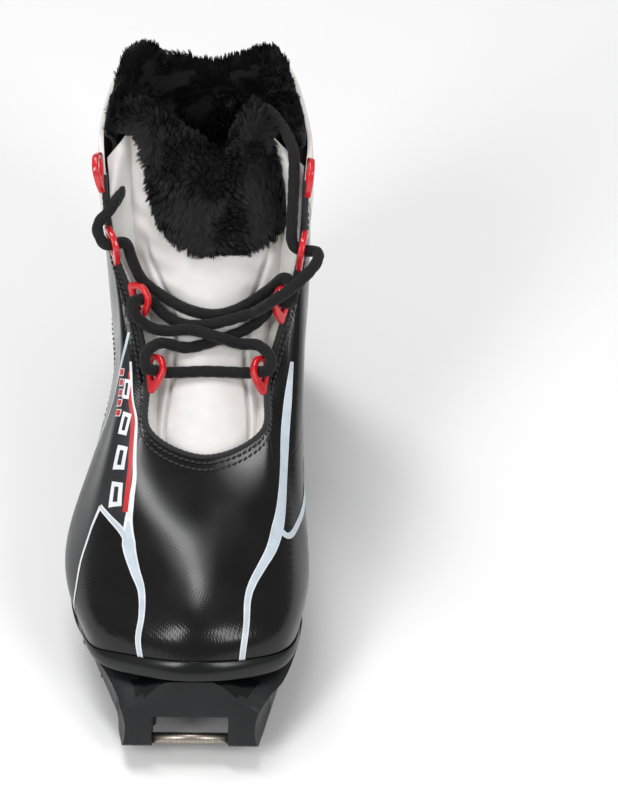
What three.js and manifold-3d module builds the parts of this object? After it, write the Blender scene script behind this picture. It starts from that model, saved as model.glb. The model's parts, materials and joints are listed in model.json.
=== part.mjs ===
// Nordic touring boot for the right foot, made for a binding that holds one steel bar under the toe.
// Millimetres, +Z up, toe towards -Y, outer side of the foot towards -X, standing on z = 0.
import * as THREE from 'three';
import { ParametricGeometry } from 'three/addons/geometries/ParametricGeometry.js';
import { mergeGeometries, mergeVertices } from 'three/addons/utils/BufferGeometryUtils.js';
import Module from 'manifold-3d';

const wasm = await Module();
wasm.setup();

// ---- driving dimensions ----
const AXIS_X = 3.3; // the sole channel lies this far to the inner side of the overall middle
const GAP = 0.3; // clearance between neighbouring pieces
const TOE_Y = -138; // front of the prongs
const CHANNEL_MOUTH = 24; // width of the sole channel at the tread
const CHANNEL_FLOOR = 15; // width of the sole channel at its floor
const CHANNEL_TOP_Z = 11; // height of the channel floor above the ground
const NOTCH_WIDTH = 31.4; // clear width between the two prongs
const NOTCH_TOP_Z = 23;
const NOTCH_DEPTH = 22;
const BAR_DIAMETER = 4.6;
const BAR_LENGTH = 44;
const BAR_Y = -133.5;
const BAR_Z = 12;
const SHELL = 2.2; // thickness of the outer panels
const LINING = 1.2; // thickness of stiffeners and linings
const STIFFENER_DEPTH = -3.6; // outer face of what lies behind the outer panels
const PAD = 6; // thickness of the padded pile lining at the ankle
const LACE_DIAMETER = 5;
const LACE_SIDES = 8;
const LUG_ROOT = 9; // a lug is this tall, most of it inside the sole
const LAST_STATION = 16; // stations of the upper are numbered 0 to 16 round the foot

const COLOURS = {
  rubber: 0x17181a,
  gloss: 0x101113,
  leather: 0x131416,
  twill: 0x1b1d20,
  white: 0xeceef0,
  pile: 0x0c0c0e,
  red: 0xd3202b,
  steel: 0x9a958d,
  board: 0xb59b78,
  foam: 0x5d6166,
  lining: 0x2a2c30,
  lace: 0x111113,
};

const FINISH = {
  rubber: { roughness: 0.7, metalness: 0 },
  gloss: { roughness: 0.25, metalness: 0 },
  leather: { roughness: 0.35, metalness: 0 },
  twill: { roughness: 0.4, metalness: 0 },
  white: { roughness: 0.5, metalness: 0 },
  pile: { roughness: 1, metalness: 0 },
  red: { roughness: 0.2, metalness: 0 },
  steel: { roughness: 0.35, metalness: 1 },
  board: { roughness: 0.9, metalness: 0 },
  foam: { roughness: 0.9, metalness: 0 },
  lining: { roughness: 0.95, metalness: 0 },
  lace: { roughness: 0.85, metalness: 0 },
};

const vec = (x, y, z) => new THREE.Vector3(x, y, z);
const lerp = THREE.MathUtils.lerp;
const smooth = THREE.MathUtils.smoothstep;

// ---- closed meshes and booleans ----

// Shared corners merged, collapsed triangles dropped, faces turned outwards.
function closed(geometry) {
  geometry.deleteAttribute('normal');
  geometry.deleteAttribute('uv');
  const merged = mergeVertices(geometry, 1e-3);
  const index = merged.getIndex().array;
  const place = merged.getAttribute('position');
  const corner = [vec(0, 0, 0), vec(0, 0, 0), vec(0, 0, 0)];
  const kept = [];
  let volume = 0;
  for (let i = 0; i < index.length; i += 3) {
    const [a, b, c] = index.slice(i, i + 3);
    if (a === b || b === c || c === a) continue;
    kept.push(a, b, c);
    corner[0].fromBufferAttribute(place, a);
    corner[1].fromBufferAttribute(place, b);
    corner[2].fromBufferAttribute(place, c);
    volume += corner[0].dot(corner[1].cross(corner[2]));
  }
  if (volume < 0) kept.reverse();
  merged.setIndex(kept);
  return merged;
}

function solidOf(geometry) {
  const body = closed(geometry);
  return new wasm.Manifold(new wasm.Mesh({
    numProp: 3,
    vertProperties: new Float32Array(body.getAttribute('position').array),
    triVerts: new Uint32Array(body.getIndex().array),
  }));
}

function geometryOf(solid) {
  const mesh = solid.getMesh();
  const geometry = new THREE.BufferGeometry();
  geometry.setAttribute('position', new THREE.BufferAttribute(mesh.vertProperties, 3));
  geometry.setIndex(new THREE.BufferAttribute(mesh.triVerts, 1));
  return geometry;
}

// Two sheets that meet along their four edges, or along two where the sheet closes on itself.
// front(a, b) and back(a, b) give the faces for a and b from 0 to 1.
function sheetSolid(front, back, columns, rows, wraps = false) {
  const margin = 0.012;
  const stretch = (step, count) => {
    const near = (step * count - 1) / (count - 2);
    if (near < 0) return 0;
    if (near > 1) return 1;
    return lerp(margin, 1 - margin, near);
  };
  const face = (own, other) => (u, v, target) => {
    const a = wraps ? u : stretch(u, columns);
    const b = stretch(v, rows);
    const edge = b === 0 || b === 1 || (!wraps && (a === 0 || a === 1));
    target.copy(own(a, b));
    if (edge) target.lerp(other(a, b), 0.5);
  };
  const outside = new ParametricGeometry(face(front, back), columns, rows);
  const inside = new ParametricGeometry(face(back, front), columns, rows);
  inside.index.array.reverse();
  return closed(mergeGeometries([outside, inside]));
}

// ---- the upper's surface ----
// Four rings run round the foot: where the upper meets the sole, two round its bulge, and the rim of
// throat and collar. Station 0 is the toe, 4 the outer waist, 8 the heel and 12 the inner waist.
const FEATHER = [
  [2, -126, 38], [-32, -113, 31.5], [-45, -94, 28.5], [-52, -57, 27],
  [-47.5, -16, 26], [-40, 25, 26], [-35, 65, 27], [-30, 108, 29],
  [1, 134, 30], [31, 108, 29], [34, 72, 27.5], [27, 36, 26.5],
  [31, 0, 26.5], [40, -40, 27], [43.5, -82, 28.5], [36, -112, 31.5],
];
const LOW = [
  [2, -114, 57], [-31, -102, 51], [-47, -84, 46], [-54, -50, 45],
  [-45.5, -8, 49], [-38.5, 27, 55], [-39, 68, 58], [-33, 110, 63],
  [1, 136, 60], [34, 110, 63], [38, 72, 57], [36, 40, 54],
  [40, 8, 51], [44.5, -32, 47], [47.5, -72, 45], [36, -102, 51],
];
const MID = [
  [3, -78, 71], [-26, -63, 71], [-37, -40, 74], [-36, -12, 80],
  [-34, 16, 92], [-36, 42, 107], [-42.5, 74, 115], [-31, 106, 121],
  [2, 124, 116], [33, 107, 120], [44, 76, 114], [46, 44, 105],
  [45, 20, 92], [44, -8, 80], [40, -36, 73], [31, -62, 71],
];
const RIM = [
  [4, -34, 77], [-20, -25, 84], [-21.5, 0, 95], [-28, 22, 114],
  [-37.5, 36, 136], [-41, 51, 159], [-41.5, 78, 172], [-29, 105, 183],
  [4, 118, 166], [33, 105, 182], [46, 78, 166], [46, 51, 157],
  [44, 36, 134], [38, 22, 114], [30, 0, 94.5], [28, -25, 84],
];

const rings = [FEATHER, LOW, MID, RIM].map((ring) => {
  const points = ring.map(([x, y, z]) => vec(x, y, z));
  return new THREE.CatmullRomCurve3(points, true, 'catmullrom', 0.5);
});

function upperPoint(station, rise) {
  const ladder = rings.map((ring) => ring.getPoint(station / LAST_STATION));
  return new THREE.CatmullRomCurve3(ladder, false, 'catmullrom', 0.5).getPoint(rise);
}

function upperNormal(station, rise) {
  const step = 0.01;
  const up = Math.min(rise, 1 - step);
  const along = upperPoint(station + step, up).sub(upperPoint(station - step, up));
  const above = upperPoint(station, up + step).sub(upperPoint(station, Math.max(up - step, 0)));
  return above.cross(along).normalize();
}

function offsetPoint(station, rise, distance) {
  return upperPoint(station, rise).addScaledVector(upperNormal(station, rise), distance);
}

// A piece of the upper: where(a, b) gives its [station, rise], outer and inner its two depths.
function upperPanel(where, outer, inner, columns, rows, wraps = false) {
  const front = (a, b) => offsetPoint(...where(a, b), outer);
  const back = (a, b) => offsetPoint(...where(a, b), inner);
  return sheetSolid(front, back, columns, rows, wraps);
}

// Seam lines, as stations or rises.
const COVER_TOP = 0.4;
const COVER_FRONT = 4.3;
const THROAT_CORNER = 1.25;
const SEAM_S = 0.022;
const SEAM_T = 0.014;
const SEAM_THROAT = 0.034;
const vampEdge = (rise) => lerp(COVER_FRONT, THROAT_CORNER, smooth(rise, COVER_TOP, 0.85));
const collarSeam = (station) => {
  const fromBack = Math.abs(station - 8);
  return lerp(0.68, 1, smooth(fromBack, 1.6, 3.0));
};
// Stations are mirrored about the toe-heel line: 0 stays, 4 becomes 12.
const mirrorStation = (station) => LAST_STATION - station;

function vamp() {
  const where = (a, b) => {
    const rise = b;
    const edge = vampEdge(rise);
    return [lerp(-edge, edge, a), rise];
  };
  return upperPanel(where, 0, -SHELL, 30, 12);
}

function quarter(medial) {
  const where = (a, b) => {
    let top = 1;
    for (let i = 0; i < 5; i += 1) top = collarSeam(lerp(vampEdge(top), 8, a));
    const rise = lerp(COVER_TOP + SEAM_T, top - SEAM_T, b);
    const station = lerp(vampEdge(rise) + SEAM_THROAT, 8 - SEAM_S, a);
    return [medial ? mirrorStation(station) : station, rise];
  };
  return upperPanel(where, 0, -SHELL, 26, 8);
}

function heelCover() {
  const where = (a, b) => {
    const station = lerp(COVER_FRONT + SEAM_S, mirrorStation(COVER_FRONT + SEAM_S), a);
    return [station, lerp(0, COVER_TOP - SEAM_T, b)];
  };
  return upperPanel(where, 0, -SHELL, 22, 6);
}

function collarPanel(medial) {
  const where = (a, b) => {
    const station = lerp(5.2, 8 - SEAM_S, a);
    const rise = lerp(collarSeam(station) + SEAM_T, 1, b);
    return [medial ? mirrorStation(station) : station, rise];
  };
  return upperPanel(where, 0, -SHELL, 12, 5);
}

function toePuff() {
  const where = (a, b) => [lerp(-1.7, 1.7, a), lerp(0.06, 0.42, b)];
  return upperPanel(where, STIFFENER_DEPTH, STIFFENER_DEPTH - LINING, 14, 6);
}

function heelStiffener() {
  const where = (a, b) => [lerp(5.4, 10.6, a), lerp(0.06, 0.4, b)];
  return upperPanel(where, STIFFENER_DEPTH, STIFFENER_DEPTH - LINING, 16, 5);
}

function forefootLining() {
  const where = (a, b) => [lerp(-4.6, 4.6, a), lerp(0.08, 0.7, b)];
  const outer = STIFFENER_DEPTH - LINING - 0.8;
  return upperPanel(where, outer, outer - LINING, 20, 7);
}

function pileLining() {
  const where = (a, b) => [lerp(6.1, 9.9, a), lerp(0.44, 1.0, b)];
  const outer = STIFFENER_DEPTH;
  return upperPanel(where, outer, outer - PAD, 20, 7);
}

function toeRand() {
  const where = (a, b) => {
    const station = lerp(-2.1, 2.1, a);
    const height = 0.12 - 0.08 * smooth(Math.abs(station), 0.6, 2.1);
    return [station, lerp(0.004, height, b)];
  };
  return upperPanel(where, 2.2, 0.8, 18, 4);
}

// ---- tongue, its pile trim and the bellows beside it ----
const TONGUE_LINE = [
  vec(0, -46, 63), vec(0, -26, 76), vec(0, 0, 90.5), vec(0, 22, 109),
  vec(0, 36, 130), vec(0, 47, 154), vec(0, 62, 185),
];
const TONGUE_HALF = [15, 21, 22.5, 27, 32, 32, 27]; // half width at each point of the line
const TONGUE_SKEW = [4, 4, 4.5, 5, 3.5, 2, -2]; // how far the middle lies to the inner side
const tongueCurve = new THREE.CatmullRomCurve3(TONGUE_LINE, false, 'catmullrom', 0.5);
const tongueWidth = new THREE.CatmullRomCurve3(
  TONGUE_HALF.map((half, i) => vec(half, TONGUE_SKEW[i], 0)), false, 'catmullrom', 0.5);

// across runs from -1, the outer side, to 1; along from 0 at the base to 1 at the top.
function tonguePoint(across, along, depth) {
  const middle = tongueCurve.getPoint(along);
  const heading = tongueCurve.getTangent(along);
  const outward = vec(0, -heading.z, heading.y);
  const size = tongueWidth.getPoint(along);
  const drop = lerp(5, 15, along) * across * across;
  middle.x += size.y + size.x * across;
  return middle.addScaledVector(outward, -drop - depth);
}

function tongueTop(across) {
  return 1 - 0.13 * (1 - Math.abs(across));
}

function tongueLayer(outer, inner, low, columns, rows) {
  const face = (depth) => (a, b) => {
    const across = lerp(-1, 1, a);
    return tonguePoint(across, lerp(low(across), tongueTop(across), b), depth);
  };
  return sheetSolid(face(outer), face(inner), columns, rows);
}

function tongue() {
  return tongueLayer(0, 6, () => 0, 12, 16);
}

function tongueTrim() {
  return tongueLayer(-5.3, -GAP, (across) => 0.72 + 0.1 * Math.abs(across), 12, 6);
}

// A thin fold from the tongue's edge to the inside of the quarter.
function gusset(medial) {
  const side = medial ? 1 : -1;
  const fold = (depth) => (a, b) => {
    const along = lerp(0.3, 0.74, a);
    const station = lerp(1.9, 4.5, a);
    const inner = tonguePoint(side, along, 2).add(vec(side * 1.2, 0, 0));
    const outer = offsetPoint(medial ? mirrorStation(station) : station, 0.92, STIFFENER_DEPTH);
    const middle = inner.lerp(outer, b);
    return middle.add(vec(0, 0.5, -0.85).multiplyScalar(3 * Math.sin(Math.PI * b) + depth));
  };
  return sheetSolid(fold(0), fold(1), 12, 4);
}

// ---- sole ----
// y, then half widths of tread and rim on the outer and the inner side, then the heights of the
// tread's ground and of the rim, and how far the top crowns in the middle.
const SOLE_ROWS = [
  [-138, 27.5, 28, 27.5, 28.5, 12.5, 27, 9], [-136, 28, 28.7, 28, 29.5, 9.8, 27.5, 8.5],
  [-132, 28.7, 29.4, 28.7, 31.5, 8.6, 28.5, 7.5], [-128, 29.5, 30.4, 29.5, 33, 8, 29, 6],
  [-115, 31, 33.6, 32, 38, 6.6, 28.5, 3], [-100, 36, 40.5, 35, 42, 5.5, 27, 0.5],
  [-80, 43, 49.5, 38.5, 45, 4.8, 26, 0], [-55, 47, 53.5, 38.5, 44.5, 4.5, 25.5, 0],
  [-25, 45, 51.5, 33, 40, 4.5, 25, 0], [5, 38.5, 45, 22, 31.5, 6, 24.5, 0],
  [35, 33, 39.5, 16.5, 27, 7.5, 24.5, 0], [55, 30, 37.5, 18, 29, 6.5, 25, 0],
  [80, 27, 36.5, 26, 35.5, 4.5, 25.5, 0], [105, 26, 33.5, 27.5, 34, 4.5, 26.5, 0],
  [122, 22, 27, 22.5, 27.5, 4.5, 27.5, 0], [132, 15, 18, 15, 18, 4.5, 28, 0],
  [136.5, 8, 9.5, 8, 9.5, 4.5, 28, 0], [138, 1, 1, 1, 1, 4.5, 28, 0],
];
const soleTable = new THREE.CubicInterpolant(
  SOLE_ROWS.map((row) => row[0]),
  SOLE_ROWS.flatMap((row) => row.slice(1)),
  7);
const TOE_SPRING_FROM = -70;
const TOE_SPRING = 9.5;
const springAt = (y) => TOE_SPRING * Math.min((y - TOE_SPRING_FROM) / (TOE_Y - TOE_SPRING_FROM), 1) ** 2
  * (y < TOE_SPRING_FROM ? 1 : 0);
const leanAt = (y) => 8 * (1 - smooth(y, TOE_Y, -112));

function soleSection(y) {
  const [treadOut, rimOut, treadIn, rimIn, ground, top, crown] = soleTable.evaluate(y);
  const waistZ = lerp(ground, top, 0.5);
  const waistOut = Math.min(treadOut, rimOut) - 0.5;
  const waistIn = Math.min(treadIn, rimIn) - 0.5;
  const section = [
    [-treadOut, ground], [-waistOut, waistZ], [-rimOut, top - 2.5], [-rimOut * 0.97, top],
    [-rimOut * 0.4, top + crown], [rimIn * 0.4, top + crown], [rimIn * 0.97, top],
    [rimIn, top - 2.5], [waistIn, waistZ], [treadIn, ground],
  ];
  return section.map(([x, z]) => vec(x, y + leanAt(y) * (z - ground) / (top - ground), z));
}

// A closed loft through rings of equal length, its two ends closed to their middles.
function loft(sections) {
  const count = sections[0].length;
  const middle = (ring) => ring.reduce((sum, p) => sum.add(p), vec(0, 0, 0)).divideScalar(count);
  const closedEnds = [[middle(sections[0])], ...sections, [middle(sections.at(-1))]];
  const last = closedEnds.length - 1;
  const at = (u, v, target) => {
    const ring = closedEnds[Math.round(v * last)];
    target.copy(ring[Math.round(u * count) % ring.length]);
  };
  return closed(new ParametricGeometry(at, count, last));
}

function solePlan(from, to, count) {
  const rows = [];
  for (let i = 0; i <= count; i += 1) rows.push(lerp(from, to, i / count));
  return rows;
}

// A plate on top of the sole: inset from the rim, from one height above it to another.
function soleLayer(from, to, inset, low, high, count) {
  const sections = solePlan(from, to, count).map((y) => {
    const [, rimOut, , rimIn, , top] = soleTable.evaluate(y);
    const round = Math.sqrt(Math.max(1 - Math.max(Math.abs(y) - 92, 0) ** 2 / 45 ** 2, 0.02));
    const out = (rimOut - inset) * round;
    const inn = (rimIn - inset) * round;
    return [vec(-out, y, top + low), vec(-out, y, top + high), vec(inn, y, top + high), vec(inn, y, top + low)];
  });
  return loft(sections);
}

// Rounded polygon in plan, extruded upwards from its lowest height.
function block(corners, z, height, radius = 2) {
  const shape = new THREE.Shape();
  const points = corners.map(([x, y]) => new THREE.Vector2(x, y));
  points.forEach((point, i) => {
    const before = points.at(i - 1);
    const after = points[(i + 1) % points.length];
    const enter = point.clone().add(before.clone().sub(point).setLength(radius));
    const leave = point.clone().add(after.clone().sub(point).setLength(radius));
    if (i === 0) shape.moveTo(enter.x, enter.y);
    else shape.lineTo(enter.x, enter.y);
    shape.quadraticCurveTo(point.x, point.y, leave.x, leave.y);
  });
  const body = new THREE.ExtrudeGeometry(shape, { depth: height, bevelEnabled: false, curveSegments: 2 });
  return body.translate(0, 0, z);
}

// Each lug: its corners in plan, from the toe back.
const LUGS = [
  [[-29, -117], [-15, -118], [-14, -84], [-31, -82], [-36, -98]], // toe block, outer
  [[15, -118], [30, -117], [33, -93], [14, -90]], // toe block, inner
  [[-39, -90], [-34, -79], [-40, -77]], // small wedge
  [[-28, -80], [-13, -81], [-13, -54], [-27, -53]], // row B
  [[-43, -75], [-31, -77], [-30, -49], [-41, -48]],
  [[-48, -70], [-44, -68], [-44, -43], [-49, -44]],
  [[12, -86], [28, -84], [29, -64], [11, -62]],
  [[31, -84], [38, -82], [40, -66], [32, -64]],
  [[-27, -50], [-12, -50], [-12, -23], [-26, -23]], // row A
  [[-41, -44], [-29, -46], [-29, -18], [-38, -17]],
  [[-49, -36], [-43, -38], [-41, -17], [-45, -17]],
  [[11, -59], [29, -60], [27, -32], [10, -32]],
  [[31, -60], [39, -58], [37, -36], [29, -34]],
  [[-37, -13], [-28, -14], [-27, 20], [-31, 22]], // teardrop, outer waist
  [[11, -29], [28, -28], [20, 4], [11, 4]], // trapezoid, inner waist
  [[31, -32], [35, -31], [32, -22], [29, -24]],
  [[-24, 103], [-9, 108], [-10, 121], [-25, 122]], // heel, outer pair
  [[-24, 87], [-8, 90], [-9, 100], [-25, 98]],
  [[9, 108], [26, 103], [26, 122], [10, 122]], // heel, inner pair
  [[8, 90], [24, 87], [25, 99], [9, 100]],
  [[-21, 125], [-8, 125], [-8, 134], [-15, 133]], // heel plates
  [[8, 125], [22, 125], [15, 133], [8, 134]],
];
const RIBS = [
  [[-22, -13], [-12.6, -13], [-12.6, 84], [-20, 84]], // along the channel, outer side
  [[12.6, 50], [17, 56], [19, 84], [12.6, 84]], // along the channel, inner side
];

function channelCutter() {
  const mouth = CHANNEL_MOUTH / 2;
  const floor = CHANNEL_FLOOR / 2;
  const shape = new THREE.Shape();
  shape.moveTo(-mouth, -1);
  shape.lineTo(mouth, -1);
  shape.lineTo(floor, CHANNEL_TOP_Z);
  shape.lineTo(-floor, CHANNEL_TOP_Z);
  shape.closePath();
  const length = 290;
  const body = new THREE.ExtrudeGeometry(shape, { depth: length, bevelEnabled: false });
  return body.rotateX(Math.PI / 2).translate(0, length / 2, 0);
}

function bar(diameter, length) {
  return new THREE.CylinderGeometry(diameter / 2, diameter / 2, length, 20)
    .rotateZ(Math.PI / 2).translate(0, BAR_Y, BAR_Z);
}

const SHANK_WIDTH = 16;
const SHANK_FROM = -20;
const SHANK_TO = 88;
const SHANK_Z = 21.6;
const SHANK_THICK = 2;

function shankPlate(grow, height) {
  const half = SHANK_WIDTH / 2 + grow;
  const [from, to] = [SHANK_FROM - grow, SHANK_TO + grow];
  return block([[-half, from], [half, from], [half, to], [-half, to]], SHANK_Z - grow, height, 5);
}

function outsole() {
  const stops = [0, 2, 5, 9, 14, 20, 27, 35, 45, 55, 67, 79, 91, 103, 115, 127, 139, 151, 163, 175, 187, 199];
  stops.push(211, 223, 235, 245, 253, 260, 265, 269, 272, 274, 275.3, 276);
  let body = solidOf(loft(stops.map((step) => soleSection(TOE_Y + step))));
  for (const corners of [...LUGS, ...RIBS]) {
    const middleY = corners.reduce((sum, corner) => sum + corner[1], 0) / corners.length;
    body = body.add(solidOf(block(corners, springAt(middleY), LUG_ROOT, 1.5)));
  }
  body = body.subtract(solidOf(channelCutter()));
  const notch = new THREE.BoxGeometry(NOTCH_WIDTH, NOTCH_DEPTH, NOTCH_TOP_Z);
  notch.translate(0, TOE_Y + NOTCH_DEPTH / 2 - 1, NOTCH_TOP_Z / 2);
  body = body.subtract(solidOf(notch));
  body = body.subtract(solidOf(bar(BAR_DIAMETER + 2 * GAP, BAR_LENGTH + 2 * GAP)));
  body = body.subtract(solidOf(shankPlate(GAP, 12)));
  return geometryOf(body);
}

// ---- moulded lace loops on the rim ----
// Each is a D-shaped ring. Its straight side lies along the edge of the throat, and its bow stands out
// over the throat, so that a lace passes through it from the outside to the tongue.
// Each loop's station on the outer side, from the throat up, and its tilt above the upper's surface.
// The inner side mirrors them.
const LOOPS = [[1.95, 48], [3, 48], [3.95, 38], [5.05, 10]];
const LOOP_THICK = 2.4;
const LOOP_WALL = 2.1;
const LOOP_REACH = 10.5;
const LOOP_HALF = 7; // half its height along the edge

// The frame of a ring: from the edge towards its bow, along the edge upwards, and through its hole.
function loopFrame(station, tilt) {
  const edge = upperPoint(station, 1);
  const out = upperNormal(station, 1);
  const ahead = upperPoint(station + 0.05, 1).sub(upperPoint(station - 0.05, 1)).normalize();
  if (station > 8) ahead.negate();
  const into = ahead.clone().cross(out).normalize();
  if (station > 8) into.negate();
  const up = into.clone().cross(ahead).normalize();
  if (up.dot(out) < 0) up.negate();
  const turn = THREE.MathUtils.degToRad(tilt);
  const bow = into.clone().multiplyScalar(Math.cos(turn)).addScaledVector(up, Math.sin(turn));
  const through = bow.clone().cross(ahead);
  return { edge, bow, ahead, through };
}

// The outline of a ring or of its hole, wall thickness in from the outside.
function loopOutline(target, wall) {
  const low = -LOOP_HALF + wall;
  const high = LOOP_HALF - wall;
  const end = LOOP_REACH - wall;
  target.moveTo(GAP + wall, low);
  target.quadraticCurveTo(end, low + 0.5, end, -0.5);
  target.quadraticCurveTo(end, high, GAP + wall, high);
  target.closePath();
  return target;
}

function laceLoop(station, tilt) {
  const ring = loopOutline(new THREE.Shape(), 0);
  ring.holes.push(loopOutline(new THREE.Path(), LOOP_WALL));
  const options = { depth: LOOP_THICK, bevelEnabled: false, curveSegments: 5 };
  const body = new THREE.ExtrudeGeometry(ring, options).translate(0, 0, -LOOP_THICK / 2);
  const { edge, bow, ahead, through } = loopFrame(station, tilt);
  const place = new THREE.Matrix4().makeBasis(bow, ahead, through).setPosition(edge);
  return closed(body.applyMatrix4(place));
}

// ---- lace ----
// One cord, from its tip behind the tongue on the outer side to its tip inside the collar.
const LACE_ROUTE = [
  // from the tip, up behind the tongue and over the edge of the quarter
  [-26, 82, 115], [-26.4, 82.5, 124.5], [-29.3, 79, 133.5], [-32.8, 69.5, 142.5], [-34.2, 56, 149.5], [-33.7, 49, 150.5],
  [-37.7, 38.5, 150], [-42.5, 34, 145.5],
  // through the third outer loop and across to the second inner loop
  [-39.6, 29.5, 139.5], [-35, 31.6, 137.9], [-30.7, 34, 136.5], [-28, 32.5, 127.5],
  [-23.5, 29, 119.5], [-13, 24.5, 113.5], [-3.7, 20.5, 111], [7, 18.9, 110], [17.4, 22.3, 110.9],
  [29, 26, 117.5], [36.5, 25, 126], [40, 19.8, 122.8], [38.7, 16.5, 118.7], [34.9, 19.5, 117.4],
  // back to the first outer loop
  [31, 21.5, 114.5], [27.5, 19.5, 109], [19.6, 15.8, 104.4], [7.1, 10.6, 102.7], [-5, 9, 100],
  [-15.5, 7.5, 104], [-21.5, 0.5, 104.4], [-21.5, -5.2, 101], [-17.5, -2.7, 97.4],
  // the straight bar to the first inner loop
  [-13.5, -0.5, 94.3], [-4, 0, 94.3], [3, -0.3, 95], [12, 0.2, 94.3], [22.6, -0.8, 94.8],
  [26.4, -2.8, 97.4], [30.2, -4.9, 100], [31, -0.3, 102.8],
  // across to the second outer loop
  [25.5, 6.5, 104], [17.6, 9, 102.5], [7, 8.5, 107.2], [-3.6, 11.5, 108], [-13, 12.8, 106],
  [-20.5, 12.5, 108.3], [-26.5, 13, 114.8], [-27.7, 16.6, 118.8], [-24.4, 20, 117.2],
  // across to the third inner loop
  [-21, 23.2, 115.2], [-15, 21, 108.5], [-5.8, 16.9, 106], [7, 13.7, 109.7], [21.7, 17, 112.3],
  [27, 13.5, 118.5], [33, 11.5, 125.5], [41, 14.5, 130.5], [49, 22, 135], [50.3, 29.5, 136.2],
  [44.4, 30.9, 135.7],
  // up inside the edge of the quarter, over the pile and into the collar
  [39.5, 32.5, 138], [39.4, 39, 147], [39.8, 47, 157], [39.8, 57, 166], [37, 67, 168.5],
  [33, 77, 168.5], [28.5, 86.5, 167], [25, 93, 162], [23, 95.5, 152], [22.5, 95.5, 142],
];
const TIP_LENGTH = 14;
const TIP_DIAMETER = 3.8;

// Gives one step of the cord to each of its points, so that the steps are short where it turns.
class CordPath extends THREE.CatmullRomCurve3 {
  getUtoTmapping(u) {
    return u;
  }
}

function lace(points) {
  const section = new THREE.Shape();
  for (let i = 0; i < LACE_SIDES; i += 1) {
    const angle = (2 * Math.PI * i) / LACE_SIDES;
    const corner = [Math.cos(angle) * LACE_DIAMETER / 2, Math.sin(angle) * LACE_DIAMETER / 2];
    if (i === 0) section.moveTo(...corner);
    else section.lineTo(...corner);
  }
  section.closePath();
  const extrudePath = new CordPath(points, false, 'catmullrom', 0.5);
  return closed(new THREE.ExtrudeGeometry(section, { steps: points.length - 1, extrudePath }));
}

function laceTip(end, before) {
  const heading = end.clone().sub(before).normalize();
  const middle = end.clone().addScaledVector(heading, GAP + TIP_LENGTH / 2);
  const tip = new THREE.CylinderGeometry(TIP_DIAMETER / 2, TIP_DIAMETER / 2, TIP_LENGTH, 12);
  tip.applyQuaternion(new THREE.Quaternion().setFromUnitVectors(vec(0, 1, 0), heading));
  return closed(tip.translate(middle.x, middle.y, middle.z));
}

// ---- assembly ----
const boot = new THREE.Group();
boot.position.x = AXIS_X;

function add(name, geometry, finish) {
  const material = new THREE.MeshStandardMaterial({ color: COLOURS[finish], ...FINISH[finish] });
  const mesh = new THREE.Mesh(geometry, material);
  mesh.name = name;
  boot.add(mesh);
}

add('outsole', outsole(), 'rubber');
add('toe_bar', closed(bar(BAR_DIAMETER, BAR_LENGTH)), 'steel');
add('shank', closed(shankPlate(0, SHANK_THICK)), 'steel');
add('insole_board', soleLayer(-98, 128, 8.5, 0.6, 2.4, 24), 'board');
add('footbed', soleLayer(-96, 124, 10.5, 2.8, 6.5, 24), 'foam');
add('toe_rand', toeRand(), 'gloss');
add('vamp', vamp(), 'leather');
add('quarter_lateral', quarter(false), 'leather');
add('quarter_medial', quarter(true), 'leather');
add('heel_cover', heelCover(), 'twill');
add('collar_lateral', collarPanel(false), 'white');
add('collar_medial', collarPanel(true), 'white');
add('toe_puff', toePuff(), 'board');
add('heel_stiffener', heelStiffener(), 'board');
add('forefoot_lining', forefootLining(), 'lining');
add('pile_lining', pileLining(), 'pile');
add('gusset_lateral', gusset(false), 'white');
add('gusset_medial', gusset(true), 'white');
add('tongue', tongue(), 'white');
add('tongue_trim', tongueTrim(), 'pile');
for (const [i, [station, tilt]] of LOOPS.entries()) {
  add(`lace_loop_lateral_${i + 1}`, laceLoop(station, tilt), 'red');
  add(`lace_loop_medial_${i + 1}`, laceLoop(mirrorStation(station), tilt), 'red');
}
const lacePoints = LACE_ROUTE.map(([x, y, z]) => vec(x, y, z));
add('lace', lace(lacePoints), 'lace');
add('lace_tip_lateral', laceTip(lacePoints[0], lacePoints[1]), 'gloss');
add('lace_tip_medial', laceTip(lacePoints.at(-1), lacePoints.at(-2)), 'gloss');

export default boot;
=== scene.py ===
# %% [markdown]
# # A Nordic touring boot
# The boot is packed as plain solids in millimetre-true places. This lesson loads them as a fixed frame and
# gives every visible piece its fine shape and its finish: patent synthetic leather, woven twill, a padded
# white tongue, long black pile, red moulded rings, a braided lace and a rubber sole with a steel toe bar.

import json
import math

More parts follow.
